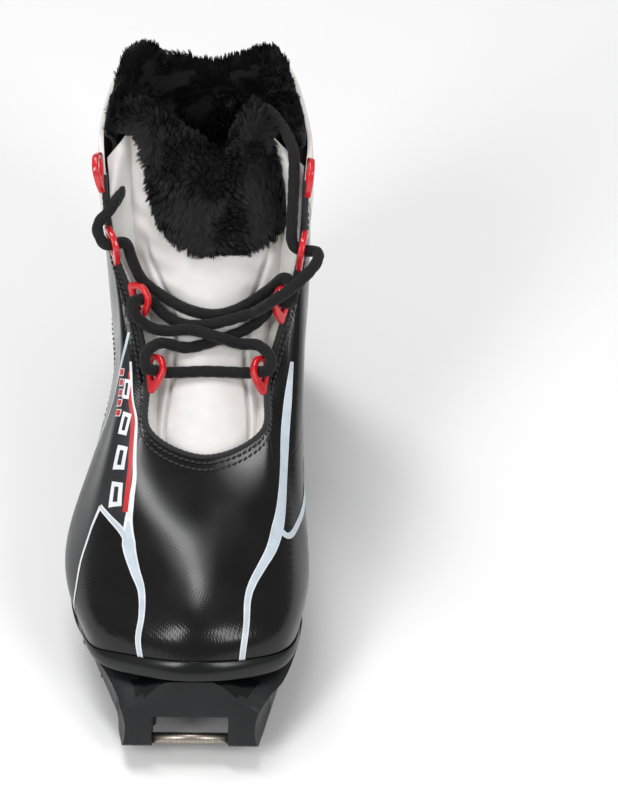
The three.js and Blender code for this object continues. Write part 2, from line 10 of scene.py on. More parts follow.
import bmesh
import bpy
import numpy as np
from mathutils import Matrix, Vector

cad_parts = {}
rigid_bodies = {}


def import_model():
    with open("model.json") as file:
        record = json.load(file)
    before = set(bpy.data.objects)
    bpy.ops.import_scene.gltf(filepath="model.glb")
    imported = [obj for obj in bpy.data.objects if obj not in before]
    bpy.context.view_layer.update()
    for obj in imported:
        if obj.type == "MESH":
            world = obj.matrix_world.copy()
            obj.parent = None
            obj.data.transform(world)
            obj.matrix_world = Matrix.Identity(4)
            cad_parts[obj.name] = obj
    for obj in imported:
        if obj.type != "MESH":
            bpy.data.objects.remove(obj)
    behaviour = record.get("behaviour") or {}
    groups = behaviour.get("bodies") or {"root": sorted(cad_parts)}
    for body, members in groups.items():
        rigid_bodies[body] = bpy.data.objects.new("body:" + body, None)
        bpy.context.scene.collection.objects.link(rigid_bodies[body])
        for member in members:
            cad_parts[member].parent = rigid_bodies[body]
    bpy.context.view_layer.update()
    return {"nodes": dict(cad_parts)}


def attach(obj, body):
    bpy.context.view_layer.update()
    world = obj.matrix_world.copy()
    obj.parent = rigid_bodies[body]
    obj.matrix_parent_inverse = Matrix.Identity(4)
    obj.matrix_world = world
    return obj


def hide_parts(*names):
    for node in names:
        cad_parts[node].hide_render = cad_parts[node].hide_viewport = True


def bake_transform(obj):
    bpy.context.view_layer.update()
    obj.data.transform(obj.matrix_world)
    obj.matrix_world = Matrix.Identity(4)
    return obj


for leftover in list(bpy.data.objects):
    bpy.data.objects.remove(leftover)
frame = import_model()

MM = 0.001
AXIS_X = 3.3  # the sole's middle line lies this far to the inner side, in millimetres

# %% [markdown]
# ## The camera
# The boot is looked at from in front and well above, so the toe is near and the collar far. A long lens keeps
# it from looking like a caricature: near and far parts then have almost the same scale.

# %% Camera
LOOK_DOWN = math.radians(42)
LOOK_TURN = math.radians(-0.8)
DISTANCE = 1.6
AIM = Vector((0.0501, 0.0098, 0.0702))
sight = Vector((
    math.sin(LOOK_TURN) * math.cos(LOOK_DOWN),
    math.cos(LOOK_TURN) * math.cos(LOOK_DOWN),
    -math.sin(LOOK_DOWN),
))
camera = bpy.data.objects.new("camera", bpy.data.cameras.new("camera"))
bpy.context.scene.collection.objects.link(camera)
bpy.context.scene.camera = camera
camera.data.sensor_width = 36
camera.data.lens = 168.1
camera.location = AIM - sight * DISTANCE
camera.rotation_euler = sight.to_track_quat("-Z", "Y").to_euler()
print("camera", [round(v, 3) for v in camera.location])

# %% [markdown]
# ## Helpers for surfaces
# Most pieces of a boot are sheets: cut flat, then pulled over a last. Each starts here as a plain bmesh
# grid, and its corners are moved to where the last puts them. The last itself is four rings of points round
# the foot, with smooth curves through them. A place on it is a station round the foot, from 0 at the toe
# through 4 at the outer waist, 8 at the heel and 12 at the inner waist, and a rise from 0 at the sole to 1
# at the rim.

# %% Smooth curves through points
def curve_at(points, t, closed=False):
    """Places on the Catmull-Rom curve through points, for t from 0 to 1."""
    points = np.asarray(points, float)
    t = np.atleast_1d(np.asarray(t, float))
    count = len(points)
    if closed:
        where = (t % 1.0) * count
        cell = np.floor(where).astype(int)
        around = [points[(cell + k) % count] for k in (-1, 0, 1, 2)]
    else:
        where = np.clip(t, 0, 1) * (count - 1)
        cell = np.clip(np.floor(where).astype(int), 0, count - 2)
        ends = np.concatenate([[2 * points[0] - points[1]], points, [2 * points[-1] - points[-2]]])
        around = [ends[cell + k] for k in (0, 1, 2, 3)]
    return hermite(*around, (where - cell)[:, None])


def hermite(before, near, far, after, w):
    leave = (far - before) / 2
    arrive = (after - near) / 2
    return (
        (2 * w**3 - 3 * w**2 + 1) * near + (w**3 - 2 * w**2 + w) * leave
        + (3 * w**2 - 2 * w**3) * far + (w**3 - w**2) * arrive
    )


def lerp(a, b, t):
    return a + (b - a) * t


def ease(x, low, high):
    t = np.clip((np.asarray(x, float) - low) / (high - low), 0, 1)
    return t * t * (3 - 2 * t)


# %% The last: four rings round the foot, in millimetres
FEATHER = [
    (2, -126, 38), (-32, -113, 31.5), (-45, -94, 28.5), (-52, -57, 27),
    (-47.5, -16, 26), (-40, 25, 26), (-35, 65, 27), (-30, 108, 29),
    (1, 134, 30), (31, 108, 29), (34, 72, 27.5), (27, 36, 26.5),
    (31, 0, 26.5), (40, -40, 27), (43.5, -82, 28.5), (36, -112, 31.5),
]
LOW = [
    (2, -114, 57), (-31, -102, 51), (-47, -84, 46), (-54, -50, 45),
    (-45.5, -8, 49), (-38.5, 27, 55), (-39, 68, 58), (-33, 110, 63),
    (1, 136, 60), (34, 110, 63), (38, 72, 57), (36, 40, 54),
    (40, 8, 51), (44.5, -32, 47), (47.5, -72, 45), (36, -102, 51),
]
MID = [
    (3, -78, 71), (-26, -63, 71), (-37, -40, 74), (-36, -12, 80),
    (-34, 16, 92), (-36, 42, 107), (-42.5, 74, 115), (-31, 106, 121),
    (2, 124, 116), (33, 107, 120), (44, 76, 114), (46, 44, 105),
    (45, 20, 92), (44, -8, 80), (40, -36, 73), (31, -62, 71),
]
RIM = [
    (4, -34, 77), (-20, -25, 84), (-21.5, 0, 95), (-28, 22, 114),
    (-37.5, 36, 136), (-41, 51, 159), (-41.5, 78, 172), (-29, 105, 183),
    (4, 118, 166), (33, 105, 182), (46, 78, 166), (46, 51, 157),
    (44, 36, 134), (38, 22, 114), (30, 0, 94.5), (28, -25, 84),
]


def upper(station, rise):
    """Places on the last, in millimetres, for arrays of stations and rises."""
    station = np.atleast_1d(np.asarray(station, float))
    rise = np.clip(np.broadcast_to(np.asarray(rise, float), station.shape), 0, 1)
    steps = [curve_at(ring, station / 16, closed=True) for ring in (FEATHER, LOW, MID, RIM)]
    ladder = np.stack([2 * steps[0] - steps[1], *steps, 2 * steps[3] - steps[2]])
    cell = np.clip(np.floor(rise * 3).astype(int), 0, 2)
    each = np.arange(len(station))
    around = [ladder[cell + k, each] for k in (0, 1, 2, 3)]
    return hermite(*around, (rise * 3 - cell)[:, None]) + np.array([AXIS_X, 0, 0])


def unit(v):
    return v / np.maximum(np.linalg.norm(v, axis=-1, keepdims=True), 1e-9)


def upper_slopes(station, rise):
    station = np.atleast_1d(np.asarray(station, float))
    rise = np.clip(np.broadcast_to(np.asarray(rise, float), station.shape), 0.0101, 0.9899)
    h = 0.01
    along = (upper(station + h, rise) - upper(station - h, rise)) / (2 * h)
    above = (upper(station, rise + h) - upper(station, rise - h)) / (2 * h)
    return along, above


def upper_normal(station, rise):
    along, above = upper_slopes(station, rise)
    return unit(np.cross(above, along))


def on_upper(station, rise, lift=0.0):
    lift = np.broadcast_to(np.asarray(lift, float), np.atleast_1d(station).shape)
    return upper(station, rise) + upper_normal(station, rise) * lift[:, None]


def beside(station, rise, sideways):
    """Stations and rises that lie sideways millimetres to the left of a line of them, on the last."""
    along, above = upper_slopes(station, rise)
    line = np.gradient(upper(station, rise), axis=0)
    left = unit(np.cross(upper_normal(station, rise), line))
    aa, ab, bb = (along * along).sum(1), (along * above).sum(1), (above * above).sum(1)
    la, lb = (left * along).sum(1), (left * above).sum(1)
    det = np.maximum(aa * bb - ab * ab, 1e-6)
    return (
        station + sideways * (la * bb - lb * ab) / det,
        rise + sideways * (lb * aa - la * ab) / det,
    )


print("toe of the last", upper(0, 0).round(1), "heel", upper(8, 0).round(1))

# %% Making objects
def add_object(name, mesh):
    for polygon in mesh.polygons:
        polygon.use_smooth = True
    piece = bpy.data.objects.new(name, mesh)
    bpy.context.scene.collection.objects.link(piece)
    return piece


def from_bmesh(name, bm):
    mesh = bpy.data.meshes.new(name)
    bm.to_mesh(mesh)
    bm.free()
    return add_object(name, mesh)


def grid(name, columns, rows, place, joined=False, flip=False):
    """A bmesh grid whose corners go to place(a, b), in millimetres, for a and b from 0 to 1.
    Its UVs are in metres along and across. joined closes it into a tube across b."""
    bm = bmesh.new()
    layer = bm.loops.layers.uv.new("cloth")
    bmesh.ops.create_grid(bm, x_segments=columns, y_segments=rows, size=0.5)
    at = np.array([v.co[:2] for v in bm.verts]) + 0.5
    spots = place(at[:, 0], at[:, 1])
    for vert, spot in zip(bm.verts, spots):
        vert.co = Vector(spot) * MM
    order = np.lexsort((at[:, 1], at[:, 0]))
    table = spots[order].reshape(columns + 1, rows + 1, 3)
    long = np.linalg.norm(np.diff(table, axis=0), axis=2).sum(0).mean() * MM
    wide = np.linalg.norm(np.diff(table, axis=1), axis=2).sum(1).mean() * MM
    for face in bm.faces:
        for loop in face.loops:
            a, b = at[loop.vert.index]
            loop[layer].uv = (a * long, b * wide)
    if joined:
        bmesh.ops.remove_doubles(bm, verts=bm.verts, dist=1e-6)
    if flip:
        bmesh.ops.reverse_faces(bm, faces=bm.faces)
    return from_bmesh(name, bm)


def thicken(piece, thickness, rim=0.6, segments=2):
    """Gives a sheet its thickness, inwards in millimetres, and rounds the edges of the cut."""
    wall = piece.modifiers.new("wall", "SOLIDIFY")
    wall.thickness = thickness * MM
    wall.offset = -1
    wall.use_even_offset = True
    edge = piece.modifiers.new("rounded cut", "BEVEL")
    edge.width = rim * MM
    edge.segments = segments
    edge.angle_limit = math.radians(50)
    edge.harden_normals = False
    return piece


def finish_piece(piece, material, body, slot, *nodes):
    piece.data.materials.clear()
    piece.data.materials.append(material)
    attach(piece, body)
    if nodes:
        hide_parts(*nodes)
    print(piece.name, len(piece.data.polygons), "faces")
    return piece


# %% Making materials
def linear(code):
    """The linear colour of an sRGB hex code."""
    parts = [int(code[i : i + 2], 16) / 255 for i in (1, 3, 5)]
    return tuple(c / 12.92 if c <= 0.04045 else ((c + 0.055) / 1.055) ** 2.4 for c in parts) + (1.0,)


def node(tree, kind, settings=None, links=None):
    """Adds one node. settings are its own properties or its input values; links join other sockets to it."""
    made = tree.nodes.new(kind)
    for key, value in (settings or {}).items():
        if isinstance(key, str) and hasattr(made, key) and key not in made.inputs:
            setattr(made, key, value)
        else:
            made.inputs[key].default_value = value
    for key, socket in (links or {}).items():
        tree.links.new(socket, made.inputs[key])
    return made


def noise(tree, place, scale, detail, **more):
    """A noise texture at the piece's own places; scale is in waves a metre."""
    settings = {"Scale": scale, "Detail": detail, **more}
    return node(tree, "ShaderNodeTexNoise", settings, {"Vector": place.outputs["Object"]})


def relief(tree, strength, distance, height, under=None):
    """A bump of the given strength and depth in metres, over the relief under it."""
    links = {"Height": height}
    if under:
        links["Normal"] = under
    return node(tree, "ShaderNodeBump", {"Strength": strength, "Distance": distance}, links)


def new_material(name, settings):
    """A material with one Principled BSDF; returns it with its tree and its shader."""
    material = bpy.data.materials.new(name)
    material.use_nodes = True
    tree = material.node_tree
    shader = tree.nodes["Principled BSDF"]
    for key, value in settings.items():
        shader.inputs[key].default_value = value
    return material, tree, shader


def colour_ramp(tree, factor, stops):
    ramp = node(tree, "ShaderNodeValToRGB", links={"Fac": factor})
    ramp.color_ramp.elements[0].position, ramp.color_ramp.elements[0].color = stops[0]
    ramp.color_ramp.elements[1].position, ramp.color_ramp.elements[1].color = stops[-1]
    for position, colour in stops[1:-1]:
        ramp.color_ramp.elements.new(position).color = colour
    return ramp.outputs["Color"]


# %% [markdown]
# ## The lace
# A round lace is braided from eight or sixteen strands round a core, 5 mm thick and limp. Its route is the
# most fixed thing on the boot, because every turn goes through a ring, so it is settled first: in at the
# tongue's outer edge, through the third outer ring, across to the second inner one, back down to the lowest
# pair, and up again to the collar. A tube of ring after ring of corners follows it, and the braid's strands
# are raised on the tube itself, so that its edge looks plaited too.

# %% The lace's route, in millimetres from the sole's middle line
LACE_ROUTE = [
    (-26, 82, 115), (-26.4, 82.5, 124.5), (-29.3, 79, 133.5), (-32.8, 69.5, 142.5), (-34.2, 56, 149.5),
    (-33.7, 49, 150.5), (-37.7, 38.5, 150), (-42.5, 34, 145.5),
    (-39.6, 29.5, 139.5), (-35, 31.6, 137.9), (-30.7, 34, 136.5), (-28, 32.5, 127.5),
    (-23.5, 29, 119.5), (-13, 24.5, 113.5), (-3.7, 20.5, 111), (7, 18.9, 110), (17.4, 22.3, 110.9),
    (29, 26, 117.5), (36.5, 25, 126), (40, 19.8, 122.8), (38.7, 16.5, 118.7), (34.9, 19.5, 117.4),
    (31, 21.5, 114.5), (27.5, 19.5, 109), (19.6, 15.8, 104.4), (7.1, 10.6, 102.7), (-5, 9, 100),
    (-15.5, 7.5, 104), (-21.5, 0.5, 104.4), (-21.5, -5.2, 101), (-17.5, -2.7, 97.4),
    (-13.5, -0.5, 94.3), (-4, 0, 94.3), (3, -0.3, 95), (12, 0.2, 94.3), (22.6, -0.8, 94.8),
    (26.4, -2.8, 97.4), (30.2, -4.9, 100), (31, -0.3, 102.8),
    (25.5, 6.5, 104), (17.6, 9, 102.5), (7, 8.5, 107.2), (-3.6, 11.5, 108), (-13, 12.8, 106),
    (-20.5, 12.5, 108.3), (-26.5, 13, 114.8), (-27.7, 16.6, 118.8), (-24.4, 20, 117.2),
    (-21, 23.2, 115.2), (-15, 21, 108.5), (-5.8, 16.9, 106), (7, 13.7, 109.7), (21.7, 17, 112.3),
    (27, 13.5, 118.5), (33, 11.5, 125.5), (41, 14.5, 130.5), (49, 22, 135), (50.3, 29.5, 136.2),
    (44.4, 30.9, 135.7),
    (39.5, 32.5, 138), (39.4, 39, 147), (39.8, 47, 157), (39.8, 57, 166), (37, 67, 168.5),
    (33, 77, 168.5), (28.5, 86.5, 167), (25, 93, 162), (23, 95.5, 152), (22.5, 95.5, 142),
]
LACE_DIAMETER = 5.0


def evenly(points, step):
    """The same line with a point every step millimetres."""
    gone = np.concatenate([[0], np.cumsum(np.linalg.norm(np.diff(points, axis=0), axis=1))])
    count = max(int(round(gone[-1] / step)), 2)
    wanted = np.linspace(0, gone[-1], count + 1)
    return np.stack([np.interp(wanted, gone, points[:, k]) for k in range(3)], axis=1)


def soften(points, times):
    """Eases a line's turns, its two ends held."""
    points = points.copy()
    for _ in range(times):
        points[1:-1] = points[1:-1] / 2 + (points[:-2] + points[2:]) / 4
    return points


def length_of(points):
    return float(np.linalg.norm(np.diff(points, axis=0), axis=1).sum())


lace_line = curve_at(LACE_ROUTE, np.linspace(0, 1, 4000)) + np.array([AXIS_X, 0, 0])
lace_line = evenly(soften(evenly(lace_line, 0.8), 5), 0.8)
print("lace", round(length_of(lace_line), 1), "mm")


# %% A tube along a line
def tube_frames(points):
    """A pair of directions across a line at each of its points, carried along it without twisting."""
    heading = unit(np.gradient(points, axis=0))
    across = np.zeros_like(points)
    side = unit(np.cross(heading[0], np.array([0.1, 0.2, 1.0])))
    for i, ahead in enumerate(heading):
        side = unit(side - ahead * float(side @ ahead))
        across[i] = side
    return across, np.cross(heading, across)


def tube(name, points, radius, sides):
    """A tube of radius(along, turn) millimetres along points, with its UVs along and round it."""
    points = np.asarray(points, float)
    across, above = tube_frames(points)
    gone = np.concatenate([[0], np.cumsum(np.linalg.norm(np.diff(points, axis=0), axis=1))])
    last = len(points) - 1

    def place(a, b):
        i = np.round(a * last).astype(int)
        turn = 2 * math.pi * np.round(b * sides) / sides
        size = np.broadcast_to(radius(gone[i], turn), turn.shape)[:, None]
        return points[i] + (across[i] * np.cos(turn)[:, None] + above[i] * np.sin(turn)[:, None]) * size

    piece = grid(name, last, sides, place, joined=True)
    bm = bmesh.new()
    bm.from_mesh(piece.data)
    bmesh.ops.holes_fill(bm, edges=[e for e in bm.edges if e.is_boundary], sides=0)
    bmesh.ops.recalc_face_normals(bm, faces=bm.faces)
    bm.to_mesh(piece.data)
    bm.free()
    for polygon in piece.data.polygons:
        polygon.use_smooth = True
    return piece


def braid(along, turn, radius=LACE_DIAMETER / 2, pitch=11.0, strands=4):
    """Two sets of strands wound opposite ways, the higher one showing."""
    one = np.cos(strands * turn + 2 * math.pi * along / pitch * strands / 2)
    two = np.cos(strands * turn - 2 * math.pi * along / pitch * strands / 2)
    return radius * (0.93 + 0.07 * np.maximum(one, two))


lace = tube("lace_braid", lace_line, braid, 24)
print("lace", len(lace.data.polygons), "faces")

# %% [markdown]
# ## Braided polyester
# Polyester yarn is dull black with a faint sheen, and each plaited strand shows its own fine threads. The
# tube's own UVs run along and round the cord, so the threads follow it through every turn. Their colour is
# painted darker in the gaps between them, as painted shade.

# %% Material: braided polyester
def braided_polyester():
    material, tree, shader = new_material("braided polyester", {
        "Roughness": 0.78, "Sheen Weight": 0.1, "Sheen Roughness": 0.45, "Specular IOR Level": 0.3,
    })
    uv = node(tree, "ShaderNodeUVMap", {"uv_map": "cloth"})
    turned = node(
        tree, "ShaderNodeMapping", {"Rotation": (0, 0, math.radians(35))}, {"Vector": uv.outputs["UV"]},
    )
    back = node(
        tree, "ShaderNodeMapping", {"Rotation": (0, 0, math.radians(-35))}, {"Vector": uv.outputs["UV"]},
    )
    yarn_per_metre = 1000 / 0.8  # real yarns are 0.3 mm; drawn coarser so that they show
    waves = [
        node(
            tree, "ShaderNodeTexWave", {"Scale": yarn_per_metre / 20 * 6.28, "Distortion": 0.4},
            {"Vector": m.outputs["Vector"]},
        )
        for m in (turned, back)
    ]
    both = node(
        tree, "ShaderNodeMath", {"operation": "MAXIMUM", 0: 0.5},
        {0: waves[0].outputs["Fac"], 1: waves[1].outputs["Fac"]},
    )
    # painted shade: the colour is darker where the thread relief is low, in the gaps between the threads
    tone = colour_ramp(tree, both.outputs["Value"], [(0.1, linear("#030303")), (0.95, linear("#19191b"))])
    tree.links.new(tone, shader.inputs["Base Color"])
    bump = relief(tree, 0.6, 0.0003, both.outputs["Value"])
    tree.links.new(bump.outputs["Normal"], shader.inputs["Normal"])
    return material


LACE_MATERIAL = braided_polyester()
finish_piece(lace, LACE_MATERIAL, "boot", "lace", "lace")

# %% [markdown]
# ## Patent synthetic leather
# The upper is polyurethane on cloth, embossed with a very fine diagonal grain and lacquered, so its
# highlights are bright but broken up by the grain. The grain is in Object coordinates, half a millimetre
# from ridge to ridge on the real boot and drawn a little coarser here.

# %% Material: patent synthetic leather
def patent_leather(name, dark, light, roughness, grain=0.24):
    material, tree, shader = new_material(name, {
        "Roughness": roughness, "Specular IOR Level": 0.3, "Coat Weight": 0.22, "Coat Roughness": 0.1,
    })
    place = node(tree, "ShaderNodeTexCoord")
    pitch = 0.0009  # ridge to ridge, in metres
    sets = []
    for turn in (38, -52):
        turned = node(
            tree, "ShaderNodeMapping", {"Rotation": (0.5, 0.2, math.radians(turn))},
            {"Vector": place.outputs["Object"]},
        )
        sets.append(
            node(
                tree, "ShaderNodeTexWave", {"Scale": 0.314 / pitch, "Distortion": 0.6, "Detail": 1.0},
                {"Vector": turned.outputs["Vector"]},
            ),
        )
    grain_height = node(
        tree, "ShaderNodeMath", {"operation": "MULTIPLY"},
        {0: sets[0].outputs["Fac"], 1: sets[1].outputs["Fac"]},
    )
    soft = noise(tree, place, 60.0, 4.0)
    tone = colour_ramp(tree, soft.outputs["Fac"], [(0.35, linear(dark)), (0.7, linear(light))])
    tree.links.new(tone, shader.inputs["Base Color"])
    wear = node(
        tree, "ShaderNodeMapRange",
        {"From Min": 0.3, "From Max": 0.75, "To Min": roughness - 0.06, "To Max": roughness + 0.08},
        {"Value": soft.outputs["Fac"]},
    )
    tree.links.new(wear.outputs["Result"], shader.inputs["Roughness"])
    bump = relief(tree, grain, 0.00012, grain_height.outputs["Value"])
    slow = noise(tree, place, 22.0, 2.0)
    ripple = relief(tree, 0.14, 0.0015, slow.outputs["Fac"], bump.outputs["Normal"])
    tree.links.new(ripple.outputs["Normal"], shader.inputs["Normal"])
    tree.links.new(bump.outputs["Normal"], shader.inputs["Coat Normal"])
    return material


PATENT = patent_leather("patent synthetic leather", "#060607", "#0b0b0c", 0.22)
GREY_PATENT = patent_leather("printed graphite leather", "#262729", "#303134", 0.38)

# %% [markdown]
# ## White synthetic leather
# The tongue, the bellows beside it and the collar are soft white polyurethane over foam: a smooth skin with a
# faint leather grain, slightly cool in colour, that lets a little light through its top layer.

# %% Material: white synthetic leather
def white_leather(name="white synthetic leather", dark="#dcd9d5", light="#efedea"):
    material, tree, shader = new_material(name, {
        "Roughness": 0.46, "Specular IOR Level": 0.45, "Subsurface Weight": 0.06, "Subsurface Scale": 0.002,
    })
    place = node(tree, "ShaderNodeTexCoord")
    cells = node(
        tree, "ShaderNodeTexVoronoi", {"Scale": 900.0, "feature": "DISTANCE_TO_EDGE"},
        {"Vector": place.outputs["Object"]},
    )
    cloud = noise(tree, place, 45.0, 5.0)
    tone = colour_ramp(tree, cloud.outputs["Fac"], [(0.3, linear(dark)), (0.65, linear(light))])
    tree.links.new(tone, shader.inputs["Base Color"])
    fine = relief(tree, 0.12, 0.0001, cells.outputs["Distance"])
    slow = relief(tree, 0.18, 0.0012, cloud.outputs["Fac"], fine.outputs["Normal"])
    tree.links.new(slow.outputs["Normal"], shader.inputs["Normal"])
    return material


WHITE = white_leather()

# %% [markdown]
# ## Printed film
# The stripes are ink printed on the leather: a cool ice grey between thin white outlines, and red. Each
# stripe is modelled as the thin film it is, lying a tenth of a millimetre over the leather.

# %% Material: printed film
def printed_film(name, code, roughness=0.32):
    material, tree, shader = new_material(
        name, {"Roughness": roughness, "Coat Weight": 0.3, "Coat Roughness": 0.2},
    )
    place = node(tree, "ShaderNodeTexCoord")
    cloud = noise(tree, place, 160.0, 3.0)
    colour = linear(code)
    dim = tuple(c * 0.86 for c in colour[:3]) + (1.0,)
    tone = colour_ramp(tree, cloud.outputs["Fac"], [(0.3, dim), (0.6, colour)])
    tree.links.new(tone, shader.inputs["Base Color"])
    bump = relief(tree, 0.15, 0.0001, cloud.outputs["Fac"])
    tree.links.new(bump.outputs["Normal"], shader.inputs["Normal"])
    return material


ICE = printed_film("ice grey print", "#c9d5df")
OUTLINE = printed_film("white print", "#eef1f4")
RED_PRINT = printed_film("red print", "#c8232c")

# %% [markdown]
# ## Moulded red rings
# The lace rings are injection-moulded nylon: one colour all through, glossy, with soft flow marks.

# %% Material: moulded nylon
def moulded_nylon():
    material, tree, shader = new_material("moulded red nylon", {
        "Roughness": 0.2, "Specular IOR Level": 0.55, "Coat Weight": 0.5, "Coat Roughness": 0.08,
        "Subsurface Weight": 0.08, "Subsurface Scale": 0.001,
    })
    place = node(tree, "ShaderNodeTexCoord")
    flow = noise(tree, place, 180.0, 2.0)
    tone = colour_ramp(tree, flow.outputs["Fac"], [(0.3, linear("#c3141f")), (0.7, linear("#dd222c"))])
    tree.links.new(tone, shader.inputs["Base Color"])
    bump = relief(tree, 0.12, 0.0003, flow.outputs["Fac"])
    tree.links.new(bump.outputs["Normal"], shader.inputs["Normal"])
    return material


RED_NYLON = moulded_nylon()

# %% [markdown]
# ## Rubber
# The sole is moulded rubber. Its front is spark-eroded matt, its side wall and the bumper at the toe are
# polished in the mould, and the tops of the lugs carry a pebbled texture.

# %% Material: moulded rubber
def moulded_rubber(name, roughness, pebble, dark="#111214", light="#1b1c1e"):
    material, tree, shader = new_material(name, {"Roughness": roughness, "Specular IOR Level": 0.45})
    place = node(tree, "ShaderNodeTexCoord")
    grit = noise(tree, place, 1500.0, 2.0)
    dust = noise(tree, place, 35.0, 6.0)
    tone = colour_ramp(tree, dust.outputs["Fac"], [(0.35, linear(dark)), (0.75, linear(light))])
    tree.links.new(tone, shader.inputs["Base Color"])
    rough = node(
        tree, "ShaderNodeMapRange", {"To Min": roughness - 0.07, "To Max": roughness + 0.1},
        {"Value": dust.outputs["Fac"]},
    )
    tree.links.new(rough.outputs["Result"], shader.inputs["Roughness"])
    height = grit.outputs["Fac"]
    if pebble:
        stones = node(
            tree, "ShaderNodeTexVoronoi", {"Scale": 1000 / 1.1, "feature": "SMOOTH_F1"},
            {"Vector": place.outputs["Object"]},
        )
        height = stones.outputs["Distance"]
    bump = relief(tree, 0.9 if pebble else 0.25, 0.0004 if pebble else 0.00008, height)
    tree.links.new(bump.outputs["Normal"], shader.inputs["Normal"])
    return material


RUBBER = moulded_rubber("moulded rubber", 0.5, False)
PEBBLE_RUBBER = moulded_rubber("pebbled rubber", 0.6, True)
GLOSS_RUBBER = moulded_rubber("polished rubber", 0.24, False, "#0a0b0c", "#111214")

# %% [markdown]
# ## Steel and the rest
# The toe bar is bright steel worn by the binding's jaw, with turning marks round it. Inside lie a pressed
# fibre board, a felted footbed and knitted linings, each with the small pattern of how it was made.

# %% Material: turned steel
def turned_steel():
    material, tree, shader = new_material("turned steel", {"Metallic": 1.0, "Roughness": 0.3})
    place = node(tree, "ShaderNodeTexCoord")
    drawn = node(tree, "ShaderNodeMapping", {"Scale": (2500, 60, 60)}, {"Vector": place.outputs["Object"]})
    marks = node(
        tree, "ShaderNodeTexNoise", {"Scale": 1.0, "Detail": 3.0}, {"Vector": drawn.outputs["Vector"]},
    )
    tone = colour_ramp(tree, marks.outputs["Fac"], [(0.3, linear("#8d857b")), (0.7, linear("#b7b0a6"))])
    tree.links.new(tone, shader.inputs["Base Color"])
    bump = relief(tree, 0.3, 0.0001, marks.outputs["Fac"])
    tree.links.new(bump.outputs["Normal"], shader.inputs["Normal"])
    rough = node(
        tree, "ShaderNodeMapRange", {"To Min": 0.22, "To Max": 0.45}, {"Value": marks.outputs["Fac"]},
    )
    tree.links.new(rough.outputs["Result"], shader.inputs["Roughness"])
    return material


# %% Material: felt, board and knit
def fibrous(name, dark, light, per_metre, roughness=0.9, sheen=0.2):
    material, tree, shader = new_material(
        name, {"Roughness": roughness, "Sheen Weight": sheen, "Sheen Roughness": 0.5},
    )
    place = node(tree, "ShaderNodeTexCoord")
    fibre = noise(tree, place, per_metre, 6.0, Roughness=0.7)
    tone = colour_ramp(tree, fibre.outputs["Fac"], [(0.3, linear(dark)), (0.7, linear(light))])
    tree.links.new(tone, shader.inputs["Base Color"])
    bump = relief(tree, 0.5, 0.0004, fibre.outputs["Fac"])
    tree.links.new(bump.outputs["Normal"], shader.inputs["Normal"])
    return material


STEEL = turned_steel()
BOARD = fibrous("pressed fibre board", "#8a7354", "#b89d79", 700)
FELT = fibrous("grey felt", "#3c3f43", "#5b5f64", 900)
KNIT = fibrous("black knit lining", "#121214", "#26272b", 1200)
THREAD = fibrous("black sewing thread", "#0b0b0c", "#2e2e31", 2500, 0.6, 0.3)
BINDING = fibrous("woven binding tape", "#090909", "#242427", 1500, 0.75, 0.25)
PILE_BACKING = fibrous("pile backing", "#050505", "#101012", 800, 0.95, 0.1)

# %% [markdown]
# ## Pile
# The collar is lined with long acrylic pile. Each lock of it is a thin curved leaf here, a little shiny along
# its length, and darker at its root where no light gets in.

# %% Material: acrylic pile
def acrylic_pile():
    material, tree, shader = new_material("black acrylic pile", {
        "Roughness": 0.55, "Specular IOR Level": 0.3, "Sheen Weight": 0.08, "Sheen Roughness": 0.4,
    })
    uv = node(tree, "ShaderNodeUVMap", {"uv_map": "cloth"})
    parts = node(tree, "ShaderNodeSeparateXYZ", links={"Vector": uv.outputs["UV"]})
    tone = colour_ramp(
        tree, parts.outputs["Y"],
        [(0.0, linear("#030303")), (0.45, linear("#090909")), (1.0, linear("#202022"))],
    )
    tree.links.new(tone, shader.inputs["Base Color"])
    return material


PILE = acrylic_pile()
print(len(bpy.data.materials), "materials")

# %% [markdown]
# ## The black panels
# Vamp and quarters are flat cut pieces pulled over the last, two millimetres thick. A grid laid on the last
# and given a wall by the Solidify modifier is closest to how they are made, and its edges can be rounded
# like a skived edge. The seam lines are stated as rises and stations, so neighbours share them.

# %% Seam lines
COVER_TOP = 0.4
COVER_FRONT = 4.3
THROAT_CORNER = 1.25
SHELL = 2.2


def vamp_edge(rise):
    return lerp(COVER_FRONT, THROAT_CORNER, ease(rise, COVER_TOP, 0.85))


def collar_seam(station):
    return lerp(0.68, 1.0, ease(np.abs(station - 8), 1.6, 3.0))


def quarter_top(a):
    top = np.ones_like(a)
    for _ in range(6):
        top = collar_seam(lerp(vamp_edge(top), 8, a))
    return top


# %% Vamp and quarters
def vamp_place(a, b):
    edge = vamp_edge(b)
    return on_upper(lerp(-edge, edge, a), b)


vamp = thicken(grid("vamp_leather", 120, 56, vamp_place, flip=True), SHELL)
finish_piece(vamp, PATENT, "boot", "black_upper", "vamp")


def quarter_place(side):
    def place(a, b):
        rise = lerp(COVER_TOP, quarter_top(a), b)
        station = lerp(vamp_edge(rise), 8, a)
        return on_upper(station * side, rise)
    return place


for side, word in ((1, "lateral"), (-1, "medial")):
    quarter = thicken(grid(f"quarter_leather_{word}", 90, 44, quarter_place(side), flip=side > 0), SHELL)
    finish_piece(quarter, PATENT, "boot", "black_upper", f"quarter_{word}")

# %% [markdown]
# ## The heel cover
# Round the heel the boot is covered with a glossy film that looks like woven carbon: a two-by-two twill, with
# each strand about two millimetres wide. It is drawn from the cover's own UVs, so the weave follows the heel.

